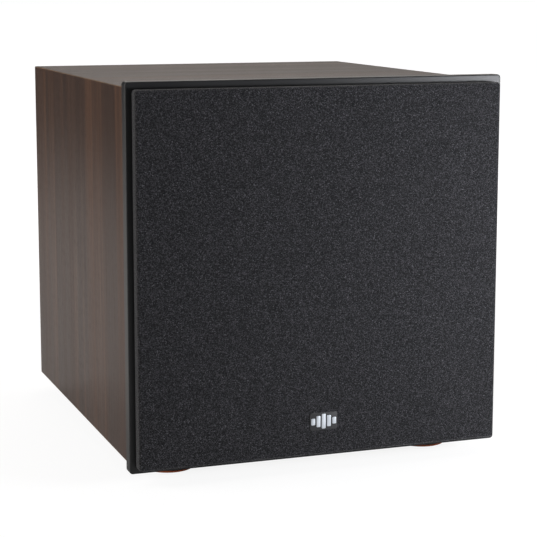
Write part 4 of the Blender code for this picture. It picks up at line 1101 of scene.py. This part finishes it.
# %% Phono sockets
for side, ring_look in (("left", WHITE_RING), ("right", RED_RING)):
    low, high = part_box(f"line_input_{side}")
    centre = Vector(((low.x + high.x) / 2, PLATE_FACE, (low.z + high.z) / 2))
    reach, tail = high.y - PLATE_FACE, low.y - PLATE_FACE
    shell_profile = [
        (0.0034, reach - 0.0003), (0.0037, reach), (0.0040, reach), (0.00415, reach - 0.0002),
        (0.00415, 0.0062), (0.0039, 0.0059), (0.0039, 0.0055), (0.00415, 0.0052), (0.00415, 0.0021),
        (0.0048, 0.0019), (0.0048, 0.0001), (0.0040, 0.0001), (0.0040, tail), (0.0, tail),
        (0.0, tail + 0.001), (0.0034, tail + 0.001),
    ]
    shell = turned(f"phono_shell_{side}", shell_profile, centre, BACK, 48)
    bpy.ops.object.select_all(action="DESELECT")
    bpy.ops.mesh.primitive_cylinder_add(
        vertices=6, radius=0.0062, depth=0.0018, location=centre + BACK * 0.0011,
    )
    nut = begin("nut")
    nut.rotation_euler = (math.pi / 2, 0, 0)
    settle(nut)
    edit(nut)
    choose(nut, "faces", lambda f: abs(f.normal.y) > 0.9)
    bpy.ops.mesh.inset(thickness=0.0016)
    bpy.ops.mesh.bridge_edge_loops()
    leave()
    shell = merged(f"phono_shell_{side}", shell, rounded(nut, 0.00018, 2))
    fit(shell, GOLD, "cabinet", [f"line_input_{side}"], 30)
    insert_profile = [
        (0.0033, reach - 0.0012), (0.0030, reach - 0.0008), (0.0022, reach - 0.0008),
        (0.0019, reach - 0.0012), (0.0017, reach - 0.0016), (0.0017, 0.0020), (0.0033, 0.0020),
    ]
    fit(turned(f"phono_ring_{side}", insert_profile, centre, BACK, 40), ring_look, "cabinet")
    pin_profile = [
        (0.0, 0.0022), (0.00165, 0.0022), (0.00165, 0.0068), (0.0013, 0.0070), (0.0011, 0.0064),
        (0.0011, 0.0030), (0.0, 0.0030),
    ]
    fit(
        turned(f"phono_contact_{side}", pin_profile, centre, BACK, 24, closed=False), GOLD, "cabinet",
    )

# %% [markdown]
# ## Mains inlet and power switch
# The inlet is a moulded body with a flange, a deep socket with two cut corners and three blades. The switch
# is a frame with a rocker that is hollowed along its top, so a finger finds which side is down. The line
# and the ring on it are the usual plain marks for on and off. No mains lead is plugged in.

# %% Mains inlet
low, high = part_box("mains_inlet")
inlet_mid = (low + high) / 2
RIM = 0.0020
flange_y = PLATE_FACE + 0.0001
body = block("inlet_body", (low.x + RIM, low.y, low.z + RIM), (high.x - RIM, flange_y + 0.0005, high.z - RIM))
flange = block("inlet_flange", (low.x, flange_y, low.z), high)
edit(flange)
choose(flange, "edges", lambda e: runs_along(e, 1))
bpy.ops.mesh.bevel(offset=0.0022, segments=5)
leave()
modify(body, "BOOLEAN", operation="UNION", solver="EXACT", object=flange)
socket = block(
    "inlet_socket", (inlet_mid.x - 0.0121, high.y - 0.0160, inlet_mid.z - 0.0083),
    (inlet_mid.x + 0.0121, high.y + 0.005, inlet_mid.z + 0.0083),
)
edit(socket)
choose(socket, "edges", lambda e: runs_along(e, 1) and middle(e).z > inlet_mid.z)
bpy.ops.mesh.bevel(offset=0.0046, segments=1)
choose(socket, "edges", lambda e: runs_along(e, 1) and middle(e).z < inlet_mid.z - 0.006)
bpy.ops.mesh.bevel(offset=0.0012, segments=3)
leave()
modify(body, "BOOLEAN", operation="DIFFERENCE", solver="EXACT", object=socket)
for spare in (flange, socket):
    bpy.data.objects.remove(spare, do_unlink=True)
body.name = "appliance_inlet"
fit(rounded(body, 0.00035, 2, 40), PLASTIC, "cabinet", ["mains_inlet"], 30)
for number, (x, z) in enumerate(((-0.007, -0.002), (0.007, -0.002), (0.0, 0.002)), start=1):
    place = inlet_mid + Vector((x, 0, z))
    blade = block(
        f"inlet_blade_{number}", (place.x - 0.0010, high.y - 0.0165, place.z - 0.0020),
        (place.x + 0.0010, high.y - 0.0030, place.z + 0.0020),
    )
    edit(blade)
    choose(blade, "faces", lambda f: f.normal.y > 0.9)
    bpy.ops.mesh.inset(thickness=0.0004)
    bpy.ops.transform.translate(value=(0, 0.0006, 0))
    leave()
    fit(rounded(blade, 0.00015, 2), NICKEL, "cabinet")

# %% Power switch
low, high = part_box("power_switch_frame")
switch_mid = (low + high) / 2
WELL_X, WELL_Z = 0.0086, 0.0056
frame_block = block("switch_bezel", (low.x, flange_y, low.z), high)
edit(frame_block)
choose(frame_block, "edges", lambda e: runs_along(e, 1))
bpy.ops.mesh.bevel(offset=0.0012, segments=4)
leave()
box_block = block(
    "switch_box", (low.x + 0.0015, low.y, low.z + 0.0015),
    (high.x - 0.0015, flange_y + 0.0005, high.z - 0.0015),
)
modify(frame_block, "BOOLEAN", operation="UNION", solver="EXACT", object=box_block)
well = block(
    "switch_well", (switch_mid.x - WELL_X, PLATE_FACE - 0.0110, switch_mid.z - WELL_Z),
    (switch_mid.x + WELL_X, high.y + 0.005, switch_mid.z + WELL_Z),
)
modify(frame_block, "BOOLEAN", operation="DIFFERENCE", solver="EXACT", object=well)
for spare in (box_block, well):
    bpy.data.objects.remove(spare, do_unlink=True)
fit(rounded(frame_block, 0.0003, 2, 40), PLASTIC, "cabinet", ["power_switch_frame"], 30)

pivot = Vector((switch_mid.x, 0.1885, switch_mid.z))
ROCKER_HALF, ROCKER_DEEP, OFF_TILT = 0.0075, 0.0052, math.radians(8)
rocker = block(
    "rocker_cap", pivot + Vector((-ROCKER_HALF, -0.0038, -ROCKER_DEEP)),
    pivot + Vector((ROCKER_HALF, 0.0062, ROCKER_DEEP)),
)
edit(rocker)
for x in (-0.0050, -0.0025, 0.0, 0.0025, 0.0050):
    bpy.ops.mesh.select_all(action="SELECT")
    bpy.ops.mesh.bisect(plane_co=(pivot.x + x, 0, 0), plane_no=(1, 0, 0))
leave()
edit(rocker)
shape = bmesh.from_edit_mesh(rocker.data)
for vertex in shape.verts:
    share = abs(vertex.co.x - pivot.x) / ROCKER_HALF
    if vertex.co.y > pivot.y:
        vertex.co.y = pivot.y + 0.0050 + 0.0014 * share * share
    else:
        vertex.co.y = pivot.y - 0.0038 + 0.0028 * share
bmesh.update_edit_mesh(rocker.data)
leave()
rounded(rocker, 0.00035, 3, 40)
line = block("mark_on", pivot + Vector((0.0040, 0.0050, -0.0018)), pivot + Vector((0.0046, 0.00560, 0.0018)))
ring = turned(
    "mark_off", [(0.0011, 0.0), (0.0017, 0.0), (0.0017, 0.0008), (0.0011, 0.0008)],
    pivot + Vector((-0.0042, 0.00500, 0)), BACK, 32,
)
for part in (rocker, line, ring):
    edit(part)
    bpy.ops.mesh.select_all(action="SELECT")
    bpy.ops.transform.rotate(value=OFF_TILT, orient_axis="Z", center_override=pivot)
    leave()
fit(rocker, SOFT_TOUCH, "power_rocker", ["power_rocker"], 30)
fit(merged("rocker_marks", line, ring), PRINT, "power_rocker")

# %% Status light
low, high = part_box("status_light")
light_centre = Vector(((low.x + high.x) / 2, PLATE_FACE, (low.z + high.z) / 2))
lens_radius, lens_rise = (high.x - low.x) / 2, high.y - PLATE_FACE
lens_profile = [
    *[
        (
            lens_radius * math.sin(math.radians(a)),
            lens_rise - lens_radius * (1 - math.cos(math.radians(a))),
        ) for a in (0, 18, 36, 54, 72, 88)
    ],
    (lens_radius, -0.0060), (0.0, -0.0060),
]
fit(
    turned("status_lens", lens_profile, light_centre, BACK, 32, closed=False), GREEN_LENS, "cabinet",
    ["status_light"],
)
bezel_profile = [
    (0.0017, 0.0001), (0.0028, 0.0001), (0.0028, 0.0003), (0.0024, 0.0006), (0.0019, 0.0006),
    (0.0017, 0.0004),
]
fit(turned("status_bezel", bezel_profile, light_centre, BACK, 32), PLASTIC, "cabinet")

# %% [markdown]
# ## The woofer
# Heights below are ahead of the basket's flange. The basket is one pressing: a flange, a sloping wall with
# six windows and a floor that carries the magnet. It is turned solid first, and six rounded wedges cut the
# windows.

# %% Basket
basket_profile = [
    (0.1310, -0.0004), (0.1310, -0.0027), (0.1165, -0.0027), (0.1157, -0.0034), (0.1135, -0.0090),
    (0.0715, -0.0606), (0.0700, -0.0612), (0.0628, -0.0612), (0.0620, -0.0620), (0.0620, -0.0762),
    (0.0612, -0.0770), (0.0280, -0.0770), (0.0280, -0.0750), (0.0592, -0.0750), (0.0600, -0.0742),
    (0.0600, -0.0598), (0.0608, -0.0590), (0.0690, -0.0590), (0.0697, -0.0584), (0.1113, -0.0085),
    (0.1092, -0.0036), (0.1090, -0.0008), (0.1098, 0.0), (0.1306, 0.0),
]
basket = turned("pressed_basket", basket_profile, DRIVER, FRONT, 96)
for number in range(6):
    cutter = block(
        "window_cutter", (-0.0345, DRIVER.y + 0.004, DRIVER.z + 0.0775),
        (0.0345, DRIVER.y + 0.075, DRIVER.z + 0.1045),
    )
    edit(cutter)
    choose(cutter, "faces", lambda f: f.normal.z < -0.5)
    bpy.ops.transform.resize(value=(0.74, 1.0, 1.0))
    choose(cutter, "edges", lambda e: runs_along(e, 1))
    bpy.ops.mesh.bevel(offset=0.006, segments=4)
    bpy.ops.mesh.select_all(action="SELECT")
    bpy.ops.transform.rotate(value=math.radians(60 * number), orient_axis="Y", center_override=DRIVER)
    leave()
    modify(basket, "BOOLEAN", operation="DIFFERENCE", solver="EXACT", object=cutter)
    bpy.data.objects.remove(cutter, do_unlink=True)
fit(basket, POWDER_COAT, "cabinet", ["driver_basket"], 30)

gasket_profile = [
    (0.1308, -0.0029), (0.1308, -0.0041), (0.1304, -0.0044), (0.1194, -0.0044), (0.1190, -0.0041),
    (0.1190, -0.0029),
]
fit(
    turned("foam_gasket", gasket_profile, DRIVER, FRONT, 96), BLACK_RUBBER, "cabinet",
    ["driver_gasket"],
)

WOOFER_SCREWS, SCREW_CIRCLE = 8, 0.1250
first_screw = None
for number in range(WOOFER_SCREWS):
    angle = math.radians(22.5 + 45 * number)
    place = DRIVER + Vector((math.cos(angle), 0, math.sin(angle))) * SCREW_CIRCLE + FRONT * -0.0001
    if first_screw is None:
        first_screw, first_place = pan_screw("woofer_screw_1", place, FRONT, 0.0038, 0.0022), place
        screw = first_screw
    else:
        screw = twin(first_screw, f"woofer_screw_{number + 1}", place - first_place)
    fit(screw, BLACK_SCREW, "cabinet")

# %% [markdown]
# ## Cone, cap and coil
# These move together. The cone is pressed paper with a few shallow rings that stiffen it; the cap is a dome
# glued over its neck; the former carries a copper coil in the magnet's gap.

# %% Cone assembly
NECK, RIM, CONE_DEEP, CONE_WALL = 0.0258, 0.0885, 0.044, 0.0011


def cone_height(radius):
    """Height of the cone's front face, a shallow curve with four stiffening rings."""
    along = (radius - NECK) / (RIM - NECK)
    ring = sum(0.0007 * math.exp(-(((radius - r) / 0.0017) ** 2)) for r in (0.050, 0.060, 0.070, 0.080))
    return -CONE_DEEP * (1 - along**1.15) + ring


radii = [NECK + (RIM - NECK) * i / 44 for i in range(45)]
cone_profile = [
    (0.0930, -0.0001), (0.0934, -0.0006), (0.0930, -CONE_WALL),
    *[(r, cone_height(r) - CONE_WALL) for r in reversed(radii)], *[(r, cone_height(r)) for r in radii],
]
fit(
    turned("paper_cone", cone_profile, DRIVER, FRONT, 96), CONE_PAPER, "cone_assembly",
    ["cone"], 40,
)

CAP_RADIUS, CAP_RISE, CAP_WALL = 0.0386, 0.012, 0.0009
cap_base = -CONE_DEEP * (1 - ((CAP_RADIUS - NECK) / (RIM - NECK)) ** 1.15) + 0.0007
cap_radii = [CAP_RADIUS * i / 14 for i in range(15)]
cap_profile = [
    *[(r, cap_base + CAP_WALL + CAP_RISE * (1 - (r / CAP_RADIUS) ** 2)) for r in cap_radii],
    (CAP_RADIUS + 0.0003, cap_base + CAP_WALL * 0.5),
    *[(r, cap_base + CAP_RISE * (1 - (r / CAP_RADIUS) ** 2)) for r in reversed(cap_radii)],
]
cap = turned("dust_dome", cap_profile, DRIVER, FRONT, 72, closed=False)
fit(cap, CONE_PAPER, "cone_assembly", ["dust_cap"], 40)

FORMER_LOOK = wound("former_wrap", (0.30, 0.26, 0.20), (0.52, 0.46, 0.36), DRIVER, 0.0016, False, 0.6, 0.40)
COIL_LOOK = wound("copper_coil", (0.36, 0.130, 0.050), (0.78, 0.36, 0.17), DRIVER, 0.0006, False, 1.0, 0.32)
former_profile = [(0.0254, -0.0420), (0.0254, -0.0910), (0.0250, -0.0912), (0.0250, -0.0418)]
fit(
    turned("coil_former", former_profile, DRIVER, FRONT, 64), FORMER_LOOK, "cone_assembly",
    ["voice_coil_former"],
)
coil_profile = [
    *arc(0.0263, -0.0716, 0.0003, 80, 0, 2), *arc(0.0263, -0.0890, 0.0003, 0, -80, 2), (0.0257, -0.0893),
    (0.0257, -0.0713),
]
fit(
    turned("copper_winding", coil_profile, DRIVER, FRONT, 64), COIL_LOOK, "cone_assembly",
    ["voice_coil"],
)


# %% Flexing rings
def flexing_ring(obj, look, node, outer, inner):
    settle(obj)
    bpy.ops.object.shade_smooth_by_angle(angle=math.radians(60))
    obj.data.materials.clear()
    obj.data.materials.append(look)
    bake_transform(obj, "cabinet", "cone_assembly", start=DRIVER + UP * outer, end=DRIVER + UP * inner)
    weights = obj.data.attributes["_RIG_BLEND"].data
    for vertex, weight in zip(obj.data.vertices, weights):
        radius = (vertex.co - DRIVER).xz.length
        share = min(1.0, max(0.0, (outer - radius) / (outer - inner)))
        weight.value = share * share * (3 - 2 * share)
    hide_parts(node)
    print(f"{obj.name}: {len(obj.data.polygons)} faces, bends from {outer} to {inner} m")


ROLL_MIDDLE, ROLL, LIP, LIP_UNDER = 0.1020, 0.0080, 0.0009, 0.0003
surround_profile = [
    (0.1188, LIP_UNDER), (0.1190, LIP_UNDER + 0.0004), (0.1186, LIP_UNDER + LIP), (0.1112, LIP_UNDER + LIP),
    *arc(ROLL_MIDDLE, LIP_UNDER + LIP, ROLL, 3, 177, 16), (0.0930, LIP_UNDER + LIP),
    (0.0894, LIP_UNDER + LIP), (0.0890, LIP_UNDER + 0.0004), (0.0892, LIP_UNDER), (0.0944, LIP_UNDER),
    *arc(ROLL_MIDDLE, LIP_UNDER, ROLL - LIP, 177, 3, 16), (0.1100, LIP_UNDER),
]
flexing_ring(
    turned("half_roll", surround_profile, DRIVER, FRONT, 96), BLACK_RUBBER, "surround",
    0.1105, 0.0938,
)

SPIDER_IN, SPIDER_OUT, SPIDER_MIDDLE, SPIDER_WAVE, SPIDER_THICK = 0.0258, 0.0668, -0.0573, 0.0010, 0.0006
ripples, ripple_steps = 5, 50
shares = [i / ripple_steps for i in range(ripple_steps + 1)]


def ripple(share):
    calm = min(1.0, share / 0.10, (1 - share) / 0.10)
    return SPIDER_MIDDLE + SPIDER_WAVE * calm * math.sin(2 * math.pi * ripples * share)


spider_profile = [
    *[(SPIDER_OUT + (SPIDER_IN - SPIDER_OUT) * s, ripple(s) - SPIDER_THICK / 2) for s in shares],
    *[(SPIDER_OUT + (SPIDER_IN - SPIDER_OUT) * s, ripple(s) + SPIDER_THICK / 2) for s in reversed(shares)],
]
flexing_ring(
    turned("rippled_spider", spider_profile, DRIVER, FRONT, 72), SPIDER_CLOTH, "spider",
    0.0630, 0.0290,
)

# %% Magnet
plate_profile = [
    (0.0272, -0.0776), (0.0275, -0.0773), (0.0515, -0.0773), (0.0520, -0.0778), (0.0520, -0.0828),
    (0.0515, -0.0833), (0.0275, -0.0833), (0.0272, -0.0830),
]
fit(
    turned("top_plate", plate_profile, DRIVER, FRONT, 72), ZINC_STEEL, "cabinet",
    ["magnet_top_plate"], 30,
)
magnet_profile = [
    (0.0300, -0.0840), (0.0304, -0.0836), (0.0588, -0.0836), (0.0600, -0.0848), (0.0600, -0.1024),
    (0.0588, -0.1036), (0.0304, -0.1036), (0.0300, -0.1032),
]
fit(
    turned("magnet_ring", magnet_profile, DRIVER, FRONT, 72), FERRITE, "cabinet",
    ["ferrite_magnet"], 30,
)
yoke_profile = [
    (0.0238, -0.0773), (0.0242, -0.0777), (0.0242, -0.1031), (0.0250, -0.1039), (0.0512, -0.1039),
    (0.0520, -0.1047), (0.0520, -0.1105), (0.0506, -0.1119), (0.0090, -0.1119), (0.0070, -0.1099),
    (0.0070, -0.0783), (0.0080, -0.0773),
]
fit(
    turned("yoke_and_pole", yoke_profile, DRIVER, FRONT, 72), ZINC_STEEL, "cabinet", ["yoke"],
    30,
)

# %% [markdown]
# ## Speaker leads
# Two insulated leads run from the amplifier's housing, sag under the magnet and end on the tag strip. Both
# ends are fixed in the object. The route is drawn through the same points as the measured solids, on a
# smooth curve.


# %% Leads
def smooth_route(points, each=6):
    """Points on a curve that passes through all the given ones."""
    ends = [2 * points[0] - points[1], *points, 2 * points[-1] - points[-2]]
    made = []
    for a, b, c, d in zip(ends, ends[1:], ends[2:], ends[3:]):
        for i in range(each):
            t = i / each
            made.append(
                0.5 * (
                    2 * b + (c - a) * t + (2 * a - 5 * b + 4 * c - d) * t**2 + (3 * b - a - 3 * c + d) * t**3
                )
            )
    return [*made, points[-1]]


TAG_X, LEAD_RADIUS = 0.007, 0.0013
strip_z, run_z = BOX_MIDDLE_Z - 0.0700, BOX_MIDDLE_Z - 0.0780
housing_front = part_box("amp_housing")[0].y
for name, side, look, slot_name in (
    ("positive", 1, RED_SLEEVE, "red_insulation"), ("negative", -1, BLACK_SLEEVE, "black_insulation"),
):
    stops = [
        Vector((side * 0.003, housing_front - 0.0003, run_z + 0.0400)),
        Vector((side * 0.003, housing_front - 0.0200, run_z + 0.0375)),
        Vector((side * 0.003, 0.0700, run_z + 0.0220)), Vector((side * 0.003, 0.0200, run_z + 0.0050)),
        Vector((side * 0.003, -0.0450, run_z)), Vector((side * 0.0045, DRIVER.y + 0.1000, run_z + 0.0010)),
        Vector((side * 0.0065, DRIVER.y + 0.0840, run_z + 0.0060)),
        Vector((side * TAG_X, DRIVER.y + 0.0745, strip_z)),
        Vector((side * TAG_X, DRIVER.y + 0.0668, strip_z)),
    ]
    route = smooth_route(stops)
    line = bpy.data.curves.new(f"lead_{name}", "CURVE")
    line.dimensions = "3D"
    line.bevel_depth, line.bevel_resolution, line.use_fill_caps = LEAD_RADIUS, 4, True
    spline = line.splines.new("POLY")
    spline.points.add(len(route) - 1)
    for point, place in zip(spline.points, route):
        point.co = (*place, 1.0)
    line.materials.append(look)
    lead = bpy.data.objects.new(f"lead_{name}", line)
    bpy.context.scene.collection.objects.link(lead)
    length = sum((b - a).length for a, b in zip(route, route[1:]))
    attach(lead, "cabinet")
    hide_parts(f"speaker_lead_{name}")
    print(f"{lead.name}: {length:.3f} m")

seal_centre = Vector((0.0, housing_front, run_z + 0.0400))
seal_profile = [
    (0.0, 0.0002), (0.0072, 0.0002), (0.0076, 0.0006), (0.0074, 0.0016), (0.0060, 0.0022), (0.0, 0.0024),
]
seal = turned("lead_seal", seal_profile, seal_centre, FRONT, 40, closed=False)
fit(seal, BLACK_RUBBER, "cabinet")

# %% [markdown]
# ## Inside the amplifier
# The transformer is a ring wound with wire and taped; the capacitors are sleeved cans with a bare top; the
# two controls are round cans on short bushes. A few smaller parts stand on the circuit board round them.

# %% Transformer and capacitors
board_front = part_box("circuit_board")[0].y - 0.0003
low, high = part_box("mains_transformer")
core = Vector(((low.x + high.x) / 2, board_front, (low.z + high.z) / 2))
TAPE_LOOK = wound("transformer_tape", (0.36, 0.150, 0.050), (0.62, 0.40, 0.15), core, 60.0, True, 0.1, 0.45)
core_profile = [
    *arc(0.0140, 0.0210, 0.0060, 180, 90, 5), *arc(0.0210, 0.0200, 0.0070, 90, 0, 5),
    *arc(0.0220, 0.0060, 0.0060, 0, -90, 5), *arc(0.0140, 0.0060, 0.0060, -90, -180, 5),
]
fit(
    turned("wound_transformer", core_profile, core, FRONT, 120), TAPE_LOOK, "cabinet",
    ["mains_transformer"], 50,
)
for number in (1, 2):
    low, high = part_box(f"filter_capacitor_{number}")
    foot_point = Vector(((low.x + high.x) / 2, board_front, (low.z + high.z) / 2))
    tall, wide = board_front - low.y, (high.x - low.x) / 2
    can_profile = [
        (0.0, 0.0), (wide - 0.0005, 0.0), (wide, 0.0005), (wide, 0.0030), (wide - 0.0008, 0.0038),
        (wide, 0.0046), (wide, tall - 0.0012), (wide - 0.0010, tall - 0.0002), (wide - 0.0022, tall - 0.0001),
        (wide - 0.0025, tall - 0.0004), (0.0, tall - 0.0004),
    ]
    fit(
        turned(f"capacitor_can_{number}", can_profile, foot_point, FRONT, 48, closed=False), BLACK_SLEEVE,
        "cabinet", [f"filter_capacitor_{number}"],
    )
    top_profile = [
        (0.0, tall - 0.0004), (wide - 0.0027, tall - 0.0004), (wide - 0.0028, tall - 0.0001),
        (wide - 0.0045, tall), (0.0, tall),
    ]
    top = turned(f"capacitor_top_{number}", top_profile, foot_point, FRONT, 40, closed=False)
    fit(top, NICKEL, "cabinet")

# %% Control cans and small parts
for label in ("level", "crossover"):
    low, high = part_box(f"{label}_pot")
    centre = Vector(((low.x + high.x) / 2, PLATE_FACE, (low.z + high.z) / 2))
    face, tail = high.y - PLATE_FACE, low.y - PLATE_FACE
    pot_profile = [
        (0.0, -0.0112), (0.0033, -0.0112), (0.0033, face), (0.0078, face), (0.0085, face - 0.0007),
        (0.0085, face - 0.0030), (0.0081, face - 0.0034), (0.0081, face - 0.0040), (0.0085, face - 0.0044),
        (0.0085, tail + 0.0008), (0.0077, tail), (0.0, tail),
    ]
    pot = turned(f"{label}_control_can", pot_profile, centre, BACK, 48, closed=False)
    fit(pot, ZINC_STEEL, "cabinet", [f"{label}_pot"], 30)

chips = []
for number, (x, z, half_x, half_z, tall) in enumerate(
    (
        (0.000, 0.160, 0.0060, 0.0035, 0.0030), (0.020, 0.160, 0.0060, 0.0035, 0.0030),
        (-0.005, 0.090, 0.0075, 0.0050, 0.0090), (0.070, 0.120, 0.0050, 0.0050, 0.0050),
        (0.070, 0.100, 0.0025, 0.0060, 0.0040), (0.078, 0.100, 0.0025, 0.0060, 0.0040),
        (-0.078, 0.160, 0.0030, 0.0060, 0.0045),
    )
):
    chip = block(
        f"chip_{number}", (x - half_x, board_front + 0.0002 - tall, z - half_z),
        (x + half_x, board_front + 0.0002, z + half_z),
    )
    chips.append(rounded(chip, 0.0004, 2))
for number in range(6):
    centre = Vector((-0.010 + 0.007 * number, board_front - 0.0012, 0.074))
    profile = [
        (0.0, -0.0034), (0.0012, -0.0032), (0.0014, -0.0024), (0.0011, -0.0016), (0.0011, 0.0016),
        (0.0014, 0.0024), (0.0012, 0.0032), (0.0, 0.0034),
    ]
    chips.append(turned(f"resistor_{number}", profile, centre, UP, 16, closed=False))
fit(merged("board_parts", *chips), PLASTIC, "cabinet")

# %% [markdown]
# ## The wadding
# A batt of polyester wadding is stapled inside the left panel. A block is cut into a fine grid, smoothed,
# pressed down round six staples and made uneven, because loose fibre never lies flat.

# %% Wadding pad
pad_low, pad_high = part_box("damping_pad")
pad = block("wadding_pad", pad_low + Vector((0, 0.003, 0.003)), pad_high - Vector((0.003, 0.003, 0.003)))
edit(pad)
bpy.ops.mesh.select_all(action="SELECT")
bpy.ops.mesh.subdivide(number_cuts=15)
leave()
modify(pad, "SUBSURF", levels=2, render_levels=2)
staples = [(y, z) for y in (0.010, 0.090) for z in (0.095, 0.180, 0.265)]
edit(pad)
batt = bmesh.from_edit_mesh(pad.data)
thickness = pad_high.x - pad_low.x
for vertex in batt.verts:
    lift = (vertex.co.x - pad_low.x) / thickness
    press = max(math.exp(-((vertex.co.y - y) ** 2 + (vertex.co.z - z) ** 2) / 0.014**2) for y, z in staples)
    lumps = math.sin(vertex.co.y * 190 + 2.0 * math.sin(vertex.co.z * 75)) * math.sin(vertex.co.z * 160 + 1.3)
    edge = min(
        vertex.co.y - pad_low.y, pad_high.y - vertex.co.y, vertex.co.z - pad_low.z, pad_high.z - vertex.co.z,
    )
    crown = min(1.0, 0.55 + 0.45 * edge / 0.025)
    vertex.co.x = pad_low.x + lift * thickness * crown * (1 - 0.65 * press) * (0.93 + 0.06 * lumps)
bmesh.update_edit_mesh(pad.data)
leave()
fit(pad, WADDING, "cabinet", ["damping_pad"], 60)

# %% [markdown]
# ## Finishes of the measured solids
# The flat boards and plates keep their measured shapes. Each gets the finish of what it is made of.

# %% Solids that stay
LOOKS = {
    "front_baffle": SATIN_BLACK, "rear_panel": REAR_VINYL, "top_panel": BOARD, "bottom_panel": BOARD,
    "left_side_panel": BOARD, "right_side_panel": BOARD, "window_brace": BOARD,
    "terminal_strip": PRESSED_TAG_BOARD, "amp_plate": POWDER_COAT, "amp_housing": PLASTIC,
    "heat_sink": EXTRUDED, "circuit_board": CIRCUIT_GREEN, "phase_switch_body": ZINC_STEEL,
    "standby_switch_body": ZINC_STEEL,
}
shown = [name for name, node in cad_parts.items() if not node.hide_render]
for name in shown:
    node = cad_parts[name]
    node.data.materials.clear()
    node.data.materials.append(LOOKS[name])
print("measured solids shown:", sorted(shown))

# %% [markdown]
# ## The floor
# One large pale sheet. It is staging, not part of the object. Seen directly it is lifted towards the white
# of the backdrop, so that no horizon shows, but it keeps part of its shading for a soft shadow under the
# box.

# %% Floor
bpy.ops.object.select_all(action="DESELECT")
bpy.ops.mesh.primitive_plane_add(size=60.0, location=(0, 0, 0))
floor = begin("floor")
floor_look, tree, shader = new_material("pale_floor", {"Roughness": 0.8, "Specular IOR Level": 0.2})
point = add(tree, "TexCoord").outputs["Object"]
tint = mixed(tree, noise(tree, point, 3.0), (0.73, 0.73, 0.73), (0.76, 0.76, 0.76))
tree.links.new(tint, shader.inputs["Base Color"])
away = add(tree, "VectorMath", {0: point}, operation="LENGTH").outputs["Value"]
glow = add(tree, "Emission", {"Strength": spread_out(tree, away, 0.5, 1.6, 1.16, 1.35)})
share = sums(tree, "MULTIPLY", add(tree, "LightPath").outputs["Is Camera Ray"], 0.76)
blend = add(tree, "MixShader", {0: share, 1: shader.outputs["BSDF"], 2: glow.outputs["Emission"]})
tree.links.new(blend.outputs["Shader"], tree.nodes["Material Output"].inputs["Surface"])
floor.data.materials.append(floor_look)
print("floor", tuple(floor.dimensions))
